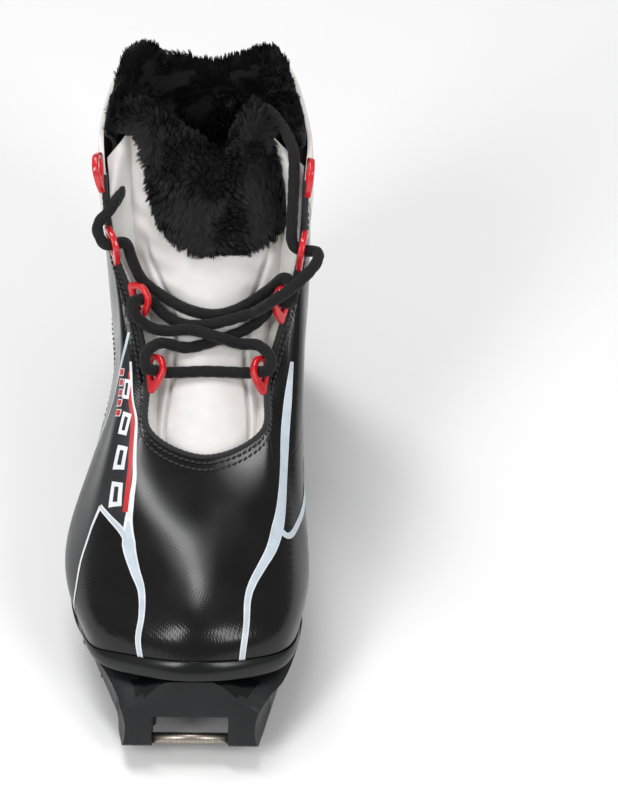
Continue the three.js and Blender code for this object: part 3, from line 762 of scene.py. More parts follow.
# %% Material: carbon twill film
def twill_film():
    material, tree, shader = new_material("carbon twill film", {
        "Roughness": 0.3, "Coat Weight": 0.6, "Coat Roughness": 0.12, "Specular IOR Level": 0.5,
    })
    uv = node(tree, "ShaderNodeUVMap", {"uv_map": "cloth"})
    strand = 0.0022
    weave = node(
        tree, "ShaderNodeMapping", {"Scale": (1 / strand, 1 / strand, 1)}, {"Vector": uv.outputs["UV"]},
    )
    parts = node(tree, "ShaderNodeSeparateXYZ", links={"Vector": weave.outputs["Vector"]})
    column = node(tree, "ShaderNodeMath", {"operation": "FLOOR"}, {0: parts.outputs["X"]})
    row = node(tree, "ShaderNodeMath", {"operation": "FLOOR"}, {0: parts.outputs["Y"]})
    step = node(
        tree, "ShaderNodeMath", {"operation": "ADD"}, {0: column.outputs["Value"], 1: row.outputs["Value"]},
    )
    over = node(tree, "ShaderNodeMath", {"operation": "PINGPONG", 1: 2.0}, {0: step.outputs["Value"]})
    above = node(tree, "ShaderNodeMath", {"operation": "GREATER_THAN", 1: 0.9}, {0: over.outputs["Value"]})
    tone = colour_ramp(tree, above.outputs["Value"], [(0.0, linear("#0c0d0e")), (1.0, linear("#3a3d41"))])
    tree.links.new(tone, shader.inputs["Base Color"])
    bump = relief(tree, 0.35, 0.0003, above.outputs["Value"])
    tree.links.new(bump.outputs["Normal"], shader.inputs["Normal"])
    return material


TWILL = twill_film()


# %% Heel cover, collar and toe bumper
def heel_place(a, b):
    return on_upper(lerp(COVER_FRONT, 16 - COVER_FRONT, a), b * COVER_TOP, 0.5 * ease(b, 1.0, 0.9))


heel = thicken(grid("heel_film", 110, 24, heel_place, flip=True), SHELL)
finish_piece(heel, TWILL, "boot", "twill", "heel_cover")


def collar_edge(station):
    """The white skin laps over the black quarter as far as this."""
    return lerp(0.668, 0.975, ease(np.abs(station - 8), 1.9, 3.3))


def collar_place(side):
    def place(a, b):
        station = lerp(4.72, 8.0, a)
        low = collar_edge(station)
        station = np.where(side > 0, station, 16 - station)
        swell = 2.2 * np.sin(np.pi * b) ** 0.7 * ease(np.abs(station - 8), 3.1, 1.5)
        return on_upper(station, lerp(low, 1.0, b), 0.3 + swell)
    return place


for side, word in ((1, "lateral"), (-1, "medial")):
    collar = thicken(grid(f"collar_skin_{word}", 60, 20, collar_place(side), flip=side > 0), 2.0)
    finish_piece(collar, WHITE, "boot", "white_upper", f"collar_{word}")


def rand_place(a, b):
    station = lerp(-2.25, 2.25, a)
    height = 0.13 - 0.09 * ease(np.abs(station), 0.6, 2.25)
    bulge = (0.4 + 1.5 * (1 - ease(np.abs(station), 1.0, 2.2))) * np.sin(np.pi * (0.12 + 0.83 * b)) ** 0.6
    return on_upper(station, b * height, bulge)


rand = thicken(grid("toe_bumper", 90, 14, rand_place, flip=True), 1.6, rim=0.4)
finish_piece(rand, GLOSS_RUBBER, "boot", "gloss_rubber", "toe_rand")

# %% [markdown]
# ## Printed stripes
# A stripe is a narrow grid laid along a line on the last. The line is a smooth curve through a few places,
# and the grid's width is measured on the surface, so a stripe keeps its width where the last bulges.

# %% A stripe along a line on the last
def stripe(name, line, widths, lift, material, columns=90, rows=4):
    line = np.asarray(line, float)
    flat = np.concatenate([line, np.zeros((len(line), 1))], axis=1)
    widths = np.asarray(widths, float)
    steps = np.linspace(0, 1, columns + 1)
    middle = curve_at(flat, steps)
    half = np.interp(steps, np.linspace(0, 1, len(widths)), widths) / 2

    def place(a, b):
        spots = np.zeros((len(a), 3))
        cell = np.round(a * columns).astype(int)
        cross = np.round(b * rows).astype(int)
        for k in range(rows + 1):
            station, rise = beside(middle[:, 0], middle[:, 1], half * (2 * k / rows - 1))
            row = on_upper(station, rise, lift)
            spots[cross == k] = row[cell[cross == k]]
        return spots

    piece = grid(name, columns, rows, place)
    facing = sum(
        p.normal.dot(p.center - Vector((AXIS_X * MM, p.center.y, 0.04))) for p in piece.data.polygons
    )
    if facing < 0:
        piece.data.flip_normals()
    finish_piece(piece, material, "boot", "white_upper")
    return piece


# %% Stripes on the outer side
RIGHT_LINE = [
    (0.58, 0.03), (0.65, 0.23), (0.63, 0.36), (0.67, 0.45), (0.8, 0.51), (0.95, 0.575), (1.02, 0.64),
    (1.04, 0.72), (1.12, 0.82), (1.48, 0.905), (2.05, 0.885), (2.6, 0.9),
]
BRANCH = [(0.92, 0.57), (1.14, 0.6), (1.5, 0.6), (1.88, 0.586)]
THIN_LINE = [
    (1.86, 0.588), (2.0, 0.525), (2.06, 0.483), (2.14, 0.417), (2.14, 0.325), (2.2, 0.18), (2.12, 0.02),
]
OUTER_LINE = [
    (2.95, 0.92), (3.0, 0.87), (3.12, 0.8), (3.25, 0.72), (3.33, 0.64), (3.4, 0.56), (3.48, 0.5),
    (3.7, 0.455), (4.0, 0.43), (4.3, 0.41),
]
RED_LINE = [(1.12, 0.66), (1.17, 0.733), (1.3, 0.822), (1.65, 0.878), (2.08, 0.872), (2.55, 0.878)]

stripe(
    "outline_lateral", RIGHT_LINE, [2.6, 2.7, 2.8, 3.2, 4.4, 6.0, 3.6, 2.2, 1.5, 1.4, 1.3, 1.0], 0.14,
    OUTLINE,
)
stripe("print_lateral", RIGHT_LINE[:7], [1.4, 1.5, 1.6, 2.0, 3.2, 4.6, 1.0], 0.22, ICE)
stripe("outline_branch", BRANCH, [2.6, 2.8, 2.2, 2.0], 0.16, OUTLINE)
stripe("print_branch", BRANCH, [1.6, 1.6, 1.1, 0.8], 0.24, ICE)
stripe("outline_toe_lateral", THIN_LINE, [1.7, 1.4, 1.3, 1.2, 1.2, 1.2, 1.2], 0.14, OUTLINE)
stripe("print_outer", OUTER_LINE, [1.0, 1.3, 1.6, 1.6, 1.6, 1.8, 2.2, 2.6, 3.0, 3.0], 0.2, ICE)
stripe("red_lateral", RED_LINE, [2.4, 2.2, 2.0, 1.9, 1.6, 0.6], 0.18, RED_PRINT)

# %% Graphite print between the outer lines
FILM_RIGHT = [
    (2.12, 0.02), (2.2, 0.18), (2.14, 0.325), (2.14, 0.417), (2.06, 0.483), (2.0, 0.525), (1.88, 0.583),
    (1.53, 0.6), (1.18, 0.605), (1.03, 0.64), (1.04, 0.708), (1.12, 0.82), (1.48, 0.905), (2.05, 0.885),
    (2.6, 0.9),
]
FILM_LEFT = [
    (4.25, 0.03), (4.27, 0.14), (4.28, 0.26), (4.28, 0.36), (4.15, 0.415), (3.95, 0.43), (3.72, 0.452),
    (3.55, 0.48), (3.42, 0.54), (3.36, 0.6), (3.32, 0.65), (3.24, 0.72), (3.16, 0.77), (3.05, 0.83),
    (2.97, 0.89),
]


def film_place(a, b):
    pad = lambda line: np.concatenate([np.asarray(line, float), np.zeros((len(line), 1))], axis=1)
    right, left = curve_at(pad(FILM_RIGHT), a), curve_at(pad(FILM_LEFT), a)
    spot = lerp(right, left, b[:, None])
    return on_upper(spot[:, 0], spot[:, 1], 0.07)


film = grid("graphite_print", 150, 40, film_place)
if sum(p.normal.x for p in film.data.polygons) > 0:
    film.data.flip_normals()
finish_piece(film, GREY_PATENT, "boot", "black_upper")

# %% Stripes on the inner side
INNER_LINE = [
    (-0.5, 0.03), (-0.53, 0.2), (-0.57, 0.333), (-0.6, 0.43), (-0.68, 0.483), (-0.83, 0.525), (-1.0, 0.558),
    (-1.17, 0.598), (-1.3, 0.63), (-1.57, 0.7), (-1.97, 0.767), (-2.4, 0.817), (-2.8, 0.86),
]
INNER_BRANCH = [(-1.2, 0.59), (-1.47, 0.542), (-1.92, 0.525), (-2.6, 0.5), (-3.4, 0.45), (-4.3, 0.41)]
stripe(
    "outline_medial", INNER_LINE, [2.6, 2.7, 2.7, 2.9, 3.3, 3.8, 4.6, 5.6, 5.0, 4.2, 4.2, 3.6, 1.5], 0.14,
    OUTLINE,
)
stripe(
    "print_medial", INNER_LINE, [1.4, 1.5, 1.5, 1.7, 2.2, 2.8, 3.6, 4.8, 4.4, 3.6, 3.6, 3.0, 0.8], 0.22, ICE,
)
stripe("print_inner_branch", INNER_BRANCH, [3.4, 2.6, 2.6, 2.8, 3.0, 3.0], 0.2, ICE)

# %% Plain blocks in place of lettering
def block_on_last(name, corner, size, lean, lift, material):
    """A slanted block of print: corner in station and rise, its size along and across in millimetres."""
    (station, rise), (long, wide) = corner, size

    def place(a, b):
        base_s, base_r = np.full_like(a, station), np.full_like(a, rise)
        along, above = upper_slopes(base_s, base_r)
        up_line = unit(lerp(above, -along * 0.35, 0.12))
        across = unit(np.cross(upper_normal(base_s, base_r), up_line))
        move = up_line * ((a - 0.5) * long)[:, None] + across * ((b - 0.5) * wide + (a - 0.5) * lean)[:, None]
        aa, ab, bb = (along * along).sum(1), (along * above).sum(1), (above * above).sum(1)
        la, lb = (move * along).sum(1), (move * above).sum(1)
        det = np.maximum(aa * bb - ab * ab, 1e-6)
        return on_upper(base_s + (la * bb - lb * ab) / det, base_r + (lb * aa - la * ab) / det, lift)

    piece = grid(name, 6, 6, place)
    if sum(p.normal.x for p in piece.data.polygons) > 0:
        piece.data.flip_normals()
    return finish_piece(piece, material, "boot", "white_upper")


for i, (spot, size) in enumerate([
    ((1.45, 0.675), (11.0, 5.8)), ((1.66, 0.765), (11.0, 5.2)), ((1.98, 0.822), (10.0, 4.2)), (
        (2.42, 0.85), (8.5, 3.0),
    ),
]):
    block_on_last(f"print_block_{i + 1}", spot, size, 1.8, 0.2, OUTLINE)
    block_on_last(f"print_block_core_{i + 1}", spot, (size[0] * 0.62, size[1] * 0.36), 1.1, 0.26, GREY_PATENT)
for i in range(5):
    spot = (2.45 + 0.13 * i, 0.77 + 0.007 * i)
    block_on_last(f"red_rim_{i + 1}", spot, (3.2, 3.4), 0.3, 0.16, OUTLINE)
    block_on_last(f"red_block_{i + 1}", spot, (2.5, 2.7), 0.3, 0.22, RED_PRINT)

# %% [markdown]
# ## Bound edge and stitching
# The throat's raw edge is bound with a narrow woven tape, and two rows of heavy thread run beside it. The
# tape is a thin tube along the rim. A stitch is one small rounded grain, and the row is that grain copied
# by an Array modifier, each copy then moved to its place along the seam.

# %% Copies of one small shape
def copies(name, bm, spots):
    """Copies of a small bmesh in one mesh. spots holds the places of each copy's corners, in millimetres."""
    one = from_bmesh(name, bm)
    many = one.modifiers.new("many", "ARRAY")
    many.use_relative_offset = False
    many.count = len(spots)
    shown = one.evaluated_get(bpy.context.evaluated_depsgraph_get())
    mesh = bpy.data.meshes.new_from_object(shown)
    one.modifiers.clear()
    one.data = mesh
    mesh.vertices.foreach_set("co", (np.asarray(spots) * MM).reshape(-1).astype(np.float32))
    mesh.update()
    for polygon in mesh.polygons:
        polygon.use_smooth = True
    return one


def stitch_row(name, line, normals, pitch, size):
    """Stitches every pitch millimetres along a line; size is a stitch's length, width and height."""
    line = np.asarray(line, float)
    gone = np.concatenate([[0], np.cumsum(np.linalg.norm(np.diff(line, axis=0), axis=1))])
    wanted = np.arange(pitch / 2, gone[-1], pitch)
    at = np.stack([np.interp(wanted, gone, line[:, k]) for k in range(3)], axis=1)
    out = unit(np.stack([np.interp(wanted, gone, normals[:, k]) for k in range(3)], axis=1))
    ahead = unit(np.gradient(at, axis=0))
    side = unit(np.cross(out, ahead))
    bm = bmesh.new()
    bmesh.ops.create_uvsphere(bm, u_segments=8, v_segments=6, radius=0.5)
    grain = np.array([v.co[:] for v in bm.verts]) * np.array(size)
    tilt = unit(ahead + side * 0.18)
    spots = at[:, None]
    for direction, k in ((tilt, 0), (side, 1), (out, 2)):
        spots = spots + direction[:, None] * grain[None, :, k : k + 1]
    piece = copies(name, bm, spots)
    return finish_piece(piece, THREAD, "boot", "black_upper")


# %% The rim from the outer collar round the throat to the inner collar
rim_stations = np.linspace(5.0, -5.0, 420)
rim_line = on_upper(rim_stations, np.full(420, 1.0), -0.9) + np.array([0, 0, 0.2])
rim_line = evenly(soften(rim_line, 6), 1.2)
binding = tube(
    "throat_binding", rim_line, lambda along, turn: 1.45 + 0.1 * np.cos(2 * math.pi * along / 2.4 + turn), 12,
)
finish_piece(binding, BINDING, "boot", "black_upper")
for i, (rise, height) in enumerate(((0.972, 0.35), (0.945, 0.3))):
    stations = np.linspace(4.7, -4.7, 500)
    rises = np.full(500, rise)
    stitch_row(
        f"throat_stitching_{i + 1}", on_upper(stations, rises, height), upper_normal(stations, rises), 2.5,
        (2.3, 1.0, 0.9),
    )

collar_stations = np.linspace(5.2, 10.8, 300)
collar_rises = collar_edge(collar_stations) + 0.018
stitch_row(
    "collar_stitching", on_upper(collar_stations, collar_rises, 0.2),
    upper_normal(collar_stations, collar_rises), 3.0, (2.2, 0.8, 0.6),
)
cover_stations = np.linspace(4.3, 11.7, 400)
cover_rises = np.full(400, COVER_TOP + 0.02)
stitch_row(
    "heel_stitching", on_upper(cover_stations, cover_rises, 0.2), upper_normal(cover_stations, cover_rises),
    3.0, (2.2, 0.8, 0.6),
)

# %% [markdown]
# ## The tongue
# The tongue is a padded leaf of white synthetic leather, sewn in at its base and swelling under the laces. It
# is a grid on its own curved line: how far a corner stands out is the padding, less a groove where it is sewn
# to its wings, less a dent under every turn of the lace.

# %% The tongue's own surface, in millimetres
TONGUE_LINE = [
    (0, -46, 63), (0, -26, 76), (0, 0, 90.5), (0, 22, 109), (0, 36, 130), (0, 47, 154), (0, 62, 185),
]
TONGUE_HALF = [15, 21, 22.5, 27, 32, 32, 27]
TONGUE_SKEW = [4, 4, 4.5, 5, 3.5, 2, -2]


def tongue_frame(across, along):
    middle = curve_at(TONGUE_LINE, along)
    h = 0.002
    heading = unit(curve_at(TONGUE_LINE, along + h) - curve_at(TONGUE_LINE, along - h))
    outward = np.stack([np.zeros_like(along), -heading[:, 2], heading[:, 1]], axis=1)
    size = curve_at([(half, skew, 0) for half, skew in zip(TONGUE_HALF, TONGUE_SKEW)], along)
    drop = lerp(5, 15, along) * across * across
    spot = middle - outward * drop[:, None]
    spot[:, 0] += AXIS_X + size[:, 1] + size[:, 0] * across
    bulge = unit(outward + np.stack([0.7 * across, np.zeros_like(across), np.zeros_like(across)], axis=1))
    return spot, bulge, heading


def tongue_top(across):
    return np.interp(
        across, [-1, -0.79, -0.39, -0.05, 0.26, 0.55, 1], [0.995, 0.995, 0.965, 0.935, 0.905, 0.95, 1.0],
    )


def ridge(x, middle, width):
    return np.exp(-(((x - middle) / width) ** 2))


def lace_dents(spots, depth=1.6, reach=6.5):
    """How far the lace presses in at each spot."""
    near = lace_line[::3]
    gap = np.full(len(spots), 1e9)
    for part in np.array_split(np.arange(len(spots)), 40):
        gap[part] = np.linalg.norm(spots[part][:, None] - near[None], axis=2).min(1)
    return depth * np.exp(-((gap / reach) ** 2) * 2.0)


def tongue_place(a, b):
    across = lerp(-1, 1, a)
    along = b * tongue_top(across) * 0.975
    spot, bulge, _ = tongue_frame(across, along)
    seam = 0.8 - 0.22 * np.sin(np.pi * ease(along, 0.18, 0.72))
    groove = ridge(np.abs(across), seam, 0.04) * ease(along, 0.14, 0.24) * (1 - ease(along, 0.6, 0.72))
    swell = 2.6 * (1 - np.abs(across) ** 6) * ease(along, 0.06, 0.18)
    pillow = 1.6 * ridge(across, 0, 0.62) * ridge(along, 0.24, 0.09)
    wrinkle = 0.35 * np.sin(along * 95 + 5 * across) * ridge(np.abs(across), seam, 0.22) * ease(
        along, 0.2, 0.4,
    )
    out = swell + pillow - 3.2 * groove + wrinkle
    return spot + bulge * (out - lace_dents(spot + bulge * out[:, None]))[:, None]


tongue = thicken(grid("tongue_padding", 90, 150, tongue_place), 5.0, rim=1.6, segments=3)
if sum(p.normal.y for p in tongue.data.polygons) > 0:
    tongue.data.flip_normals()
finish_piece(tongue, WHITE, "tongue", "white_upper", "tongue")
tongue.data.materials.append(KNIT)
tongue.modifiers["wall"].material_offset = 1

# %% [markdown]
# ## The bellows
# A thin fold of the same white leather joins each edge of the tongue to the inside of the quarter and keeps
# snow out.

# %% Bellows
def bellows_place(side):
    def place(a, b):
        along = lerp(0.12, 0.955, a)
        edge, bulge, _ = tongue_frame(np.full_like(a, 0.97 * side), along)
        inner = edge - bulge * 1.6
        station = lerp(1.15, 5.4, a) * (1 if side < 0 else -1)
        outer = on_upper(station, np.full_like(a, 0.975), -2.6)
        middle = lerp(inner, outer, b[:, None])
        lift = 2.4 * np.sin(np.pi * b) + 0.8 * np.sin(2 * np.pi * b) * np.sin(a * 19)
        lift = lift + 0.5 * np.sin(a * 34 + 3 * b) * np.sin(np.pi * b)
        return middle + np.array([0, -0.7, 0.7]) * lift[:, None]
    return place


for side, word in ((-1, "lateral"), (1, "medial")):
    fold = thicken(grid(f"bellows_{word}", 90, 24, bellows_place(side)), 0.9, rim=0.3)
    if sum(p.normal.y for p in fold.data.polygons) > 0:
        fold.data.flip_normals()
    fold.data.materials.append(WHITE)
    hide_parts(f"gusset_{word}")
    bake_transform(fold)
    print(fold.name, len(fold.data.polygons), "faces")

# %% [markdown]
# ## Long pile
# Pile is thousands of locks rooted in a knitted backing. One lock here is a single leaf of two faces, an
# Array modifier makes the thousands, and each is bent from its root, along the combing, to a tip that leans
# towards its neighbours' tips, because real pile gathers in tufts.

# %% Pile on a surface
def swirl(spots, scale, seed):
    """A smooth random direction at each spot; scale is the size of its eddies in millimetres."""
    rng = np.random.default_rng(seed)
    total = np.zeros((len(spots), 3))
    for _ in range(7):
        wave = rng.normal(size=3) * 2.2 / scale
        phase = rng.uniform(0, 2 * math.pi, 3)
        amount = rng.normal(size=3)
        total += amount * np.sin((spots @ wave)[:, None] + phase)
    return total / 2.6


def pile(name, roots, normals, comb, length, width, seed, segments=2):
    rng = np.random.default_rng(seed)
    count = len(roots)
    size = length * rng.uniform(0.7, 1.15, count)
    lean = unit(
        comb + swirl(roots, 16, seed + 1) * 0.55 + swirl(roots, 5, seed + 2) * 0.35 + rng.normal(
            size=(count, 3)
        ) * 0.12,
    )
    rise = unit(normals * 0.75 + lean * 0.65)
    tips = roots + unit(normals * 0.3 + lean) * size[:, None]
    parents = rng.choice(count, max(count // 14, 1), replace=False)
    nearest = np.zeros(count, int)
    for part in np.array_split(np.arange(count), max(count // 500, 1)):
        nearest[part] = ((roots[part][:, None] - roots[parents][None]) ** 2).sum(2).argmin(1)
    gather = rng.uniform(0.35, 0.75, count)[:, None]
    tips = tips * (1 - gather) + (tips[parents[nearest]] + normals * 0.6) * gather
    bend = roots + rise * (size * 0.55)[:, None]
    broadside = unit(np.cross(tips - roots, normals) + rng.normal(size=(count, 3)) * 0.25)
    wide = broadside * (width * rng.uniform(0.6, 1.3, count))[:, None]
    bm = bmesh.new()
    layer = bm.loops.layers.uv.new("cloth")
    bmesh.ops.create_grid(bm, x_segments=1, y_segments=segments, size=0.5)
    leaf = np.array([v.co[:2] for v in bm.verts]) + 0.5
    for face in bm.faces:
        for loop in face.loops:
            loop[layer].uv = leaf[loop.vert.index]
    t = leaf[:, 1][None, :, None]
    line = (1 - t) ** 2 * roots[:, None] + 2 * t * (1 - t) * bend[:, None] + t**2 * tips[:, None]
    spots = line + wide[:, None] * (leaf[:, 0] - 0.5)[None, :, None] * (1.0 - 0.88 * t)
    piece = copies(name, bm, spots)
    return piece


# %% The collar's pile: up the inside, over the rim and a little down the outside
def roll_frame(station, b):
    """Places on the padded roll for b from 0, deep inside, to 1, just outside the rim."""
    inside = np.clip(b / 0.62, 0, 1)
    turn = np.pi * 0.5 * np.clip((b - 0.62) / 0.38, 0, 1)
    rise = lerp(0.5, 1.0, inside)
    skin = upper(station, rise)
    out = upper_normal(station, rise)
    _, above = upper_slopes(station, np.full_like(station, 1.0))
    up_line = unit(above)
    fade = ease(np.abs(station - 8), 3.0, 2.4)
    size = lerp(2.0, 3.9, fade)
    depth = np.where(b < 0.62, -lerp(8.6, 6.9, inside), -2.9 - size * np.cos(turn))
    height = np.where(b < 0.62, 0.0, size * np.sin(turn) * 1.15)
    spot = skin + out * depth[:, None] + up_line * height[:, None]
    face = np.where((b < 0.62)[:, None], -out, -out * np.cos(turn)[:, None] + up_line * np.sin(turn)[:, None])
    return spot, unit(face), up_line


COLLAR_FROM, COLLAR_TO = 5.5, 10.5


def collar_pad_place(a, b):
    spot, face, _ = roll_frame(lerp(COLLAR_FROM, COLLAR_TO, a), b)
    return spot + face * (1.2 * swirl(spot, 14, 5)[:, :1])


pad = thicken(grid("collar_padding", 120, 44, collar_pad_place), 1.6, rim=0.5)
pad.data.update()
inward = sum(
    p.normal.dot(Vector((AXIS_X * MM, 0.07, p.center.z)) - p.center)
    for p in pad.data.polygons if p.center.z < 0.15
)
if inward < 0:
    pad.data.flip_normals()
finish_piece(pad, PILE_BACKING, "boot", "pile", "pile_lining")


def spread(count, seed):
    """Evenly scattered pairs of numbers from 0 to 1."""
    rng = np.random.default_rng(seed)
    start = rng.uniform(0, 1, 2)
    i = np.arange(count)[:, None]
    return (start + i * np.array([0.7548776662, 0.5698402910])) % 1.0


COLLAR_LOCKS = 36000
ab = spread(COLLAR_LOCKS, 11)
roots, faces, ups = roll_frame(lerp(COLLAR_FROM, COLLAR_TO, ab[:, 0]), ab[:, 1])
over = ease(ab[:, 1], 0.6, 1.0)[:, None]
comb = ups * 0.8 + faces * 0.15
comb = comb + np.array([0, 0, -0.75]) * (1 - ease(ab[:, 1], 0.1, 0.6))[:, None]
collar_pile = pile("collar_pile", roots, faces, comb, 4.6, 0.55, 21)
finish_piece(collar_pile, PILE, "boot", "pile")


# %% The tongue's pile
def trim_low(across):
    return np.interp(
        across,
        [-1, -0.82, -0.74, -0.68, -0.62, -0.55, -0.34, -0.1, 0.09, 0.36, 0.56, 0.8, 0.95, 1],
        [0.99, 0.975, 0.94, 0.87, 0.77, 0.72, 0.68, 0.655, 0.645, 0.65, 0.665, 0.69, 0.72, 0.75],
    )


def trim_frame(across, part):
    """The trim from its lower edge, part 0, up the front and over the top edge to the back, part 1."""
    top = tongue_top(across) * 0.985
    low = np.minimum(trim_low(across), top - 0.035)
    up = np.clip(part / 0.8, 0, 1)
    over = np.pi * np.clip((part - 0.8) / 0.2, 0, 1)
    spot, bulge, heading = tongue_frame(across, lerp(low, top, up))
    puff = 1.2 + 3.0 * ease(up, 0, 0.2)
    half = (puff + 5.4) / 2
    depth = puff - half * (1 - np.cos(over))
    place = spot + bulge * depth[:, None] + heading * (half * np.sin(over) * 0.8)[:, None]
    face = unit(bulge * np.cos(over)[:, None] + heading * np.sin(over)[:, None])
    return place, face, heading


def trim_place(a, b):
    spot, bulge, _ = trim_frame(lerp(-0.99, 0.99, a), b)
    return spot + bulge * (0.8 * swirl(spot, 12, 9)[:, :1])


trim = thicken(grid("tongue_trim_padding", 80, 40, trim_place), 1.4, rim=0.5)
if sum(p.normal.y for p in trim.data.polygons) > 0:
    trim.data.flip_normals()
finish_piece(trim, PILE_BACKING, "tongue", "pile", "tongue_trim")

TRIM_LOCKS = 17000
ab = spread(TRIM_LOCKS, 12)
roots, faces, headings = trim_frame(lerp(-0.98, 0.98, ab[:, 0]), lerp(0.04, 1, ab[:, 1]))
upward = ease(ab[:, 1], 0.45, 0.85)[:, None]
comb = -headings * (0.8 - 1.3 * upward) + faces * 0.3 + np.array([0.25, 0, 0]) * (ab[:, :1] - 0.5)
trim_pile = pile("tongue_pile", roots, faces, comb, 4.4, 0.55, 31)
finish_piece(trim_pile, PILE, "tongue", "pile")

# %% [markdown]
# ## The lace rings
# Each ring is a moulded D: a flat plate along the edge of the throat and a bow over it, drawn down to a point
# at its lower end. A filled flat curve with a hole, given thickness and a round bevel, is the quickest way to
# such a moulding. It is turned into a mesh before it goes to its place.

# %% Rings
LOOPS = [(1.95, 48), (3.0, 48), (3.95, 38), (5.05, 10)]
RING_OUTSIDE = [(0.7, -7.6), (2.6, -8.6), (7.2, -5.6), (10.4, -0.8), (9.2, 4.8), (5.6, 7.1), (0.7, 7.1)]
RING_HOLE = [(3.0, -3.8), (6.4, -2.7), (8.0, -0.3), (6.9, 3.5), (3.0, 4.6)]


def ring_frame(station, tilt):
    s = np.array([float(station)])
    edge, out = upper(s, 1.0)[0], upper_normal(s, 0.99)[0]
    ahead = unit(upper(s + 0.05, 1.0)[0] - upper(s - 0.05, 1.0)[0])
    if station > 8:
        ahead = -ahead
    into = unit(np.cross(ahead, out)) * (-1 if station > 8 else 1)
    up_line = unit(np.cross(into, ahead))
    if up_line @ out < 0:
        up_line = -up_line
    bow = into * math.cos(math.radians(tilt)) + up_line * math.sin(math.radians(tilt))
    return edge, bow, ahead, np.cross(bow, ahead)


def ring(name, station, tilt):
    data = bpy.data.curves.new(name, "CURVE")
    data.dimensions = "2D"
    data.fill_mode = "BOTH"
    data.extrude = 0.6
    data.bevel_depth = 0.75
    data.bevel_resolution = 3
    for outline, ease_in in ((RING_OUTSIDE, 0.75), (RING_HOLE, -0.75)):
        corners = np.asarray(outline, float)
        smooth = curve_at(np.c_[corners, np.zeros(len(corners))], np.linspace(0, 1, 41)[:-1], closed=True)
        inner = unit(smooth.mean(0) - smooth) * ease_in
        smooth = smooth + inner
        spline = data.splines.new("POLY")
        spline.points.add(len(smooth) - 1)
        for point, spot in zip(spline.points, smooth):
            point.co = (*spot, 1)
        spline.use_cyclic_u = True
    flat = bpy.data.objects.new(name, data)
    bpy.context.scene.collection.objects.link(flat)
    bpy.context.view_layer.update()
    mesh = bpy.data.meshes.new_from_object(flat.evaluated_get(bpy.context.evaluated_depsgraph_get()))
    bpy.data.objects.remove(flat)
    edge, bow, ahead, through = ring_frame(station, tilt)
    corners = np.array([v.co[:] for v in mesh.vertices])
    spots = edge + corners[:, :1] * bow + corners[:, 1:2] * ahead + corners[:, 2:] * through
    mesh.vertices.foreach_set("co", (spots * MM).reshape(-1).astype(np.float32))
    bm = bmesh.new()
    bm.from_mesh(mesh)
    bmesh.ops.remove_doubles(bm, verts=bm.verts, dist=1e-6)
    bmesh.ops.recalc_face_normals(bm, faces=bm.faces)
    bm.to_mesh(mesh)
    bm.free()
    return add_object(name, mesh)


for i, (station, tilt) in enumerate(LOOPS):
    for word, where in (("lateral", station), ("medial", 16 - station)):
        piece = ring(f"ring_{word}_{i + 1}", where, tilt)
        finish_piece(piece, RED_NYLON, "boot", "red_plastic", f"lace_loop_{word}_{i + 1}")

# %% [markdown]
# ## The sole
# The sole is one rubber moulding. Its body is a grid wrapped into a tube along the boot and closed at both
# ends. The channel and the notch for the binding are cut with Boolean modifiers. The lugs are blocks raised
# from their outlines, with bevelled flanks, on the ground that rises towards the toe.

# %% Sections of the sole: y, then tread and rim half widths outside and inside, ground, rim height, crown
SOLE_ROWS = [
    (-138, 27.5, 28, 27.5, 28.5, 12.5, 27, 9), (-136, 28, 28.7, 28, 29.5, 9.8, 27.5, 8.5),
    (-132, 28.7, 29.4, 28.7, 31.5, 8.6, 28.5, 7.5), (-128, 29.5, 30.4, 29.5, 33, 8, 29, 6),
    (-115, 31, 33.6, 32, 38, 6.6, 28.5, 3), (-100, 36, 40.5, 35, 42, 5.5, 27, 0.5),
    (-80, 43, 49.5, 38.5, 45, 4.8, 26, 0), (-55, 47, 53.5, 38.5, 44.5, 4.5, 25.5, 0),
    (-25, 45, 51.5, 33, 40, 4.5, 25, 0), (5, 38.5, 45, 22, 31.5, 6, 24.5, 0),
    (35, 33, 39.5, 16.5, 27, 7.5, 24.5, 0), (55, 30, 37.5, 18, 29, 6.5, 25, 0),
    (80, 27, 36.5, 26, 35.5, 4.5, 25.5, 0), (105, 26, 33.5, 27.5, 34, 4.5, 26.5, 0),
    (122, 22, 27, 22.5, 27.5, 4.5, 27.5, 0), (132, 15, 18, 15, 18, 4.5, 28, 0),
    (136.5, 8, 9.5, 8, 9.5, 4.5, 28, 0), (138, 1, 1, 1, 1, 4.5, 28, 0),
]
SOLE_TABLE = np.array(SOLE_ROWS, float)


def sole_row(y):
    """The sole's measures at each y, with slopes taken between neighbouring rows."""
    keys, values = SOLE_TABLE[:, 0], SOLE_TABLE[:, 1:]
    slopes = np.gradient(values, keys, axis=0)
    cell = np.clip(np.searchsorted(keys, y) - 1, 0, len(keys) - 2)
    gap = (keys[cell + 1] - keys[cell])[:, None]
    w = ((y - keys[cell]) / gap[:, 0])[:, None]
    return (
        (2 * w**3 - 3 * w**2 + 1) * values[cell] + (w**3 - 2 * w**2 + w) * gap * slopes[cell]
        + (3 * w**2 - 2 * w**3) * values[cell + 1] + (w**3 - w**2) * gap * slopes[cell + 1]
    )


TOE_Y, TOE_SPRING, TOE_SPRING_FROM = -138, 9.5, -70


def spring_at(y):
    """How far the ground side of the lugs has risen towards the toe."""
    return TOE_SPRING * min(max((TOE_SPRING_FROM - y) / (TOE_SPRING_FROM - TOE_Y), 0), 1) ** 2


SOLE_STOPS = np.concatenate(
    [
        np.arange(0, 24, 1.5), np.arange(24, 250, 3.2), np.arange(250, 271, 1.6),
        [272, 273.5, 274.6, 275.4, 275.9, 276],
    ],
) - 138
print("sole", len(SOLE_STOPS), "sections")


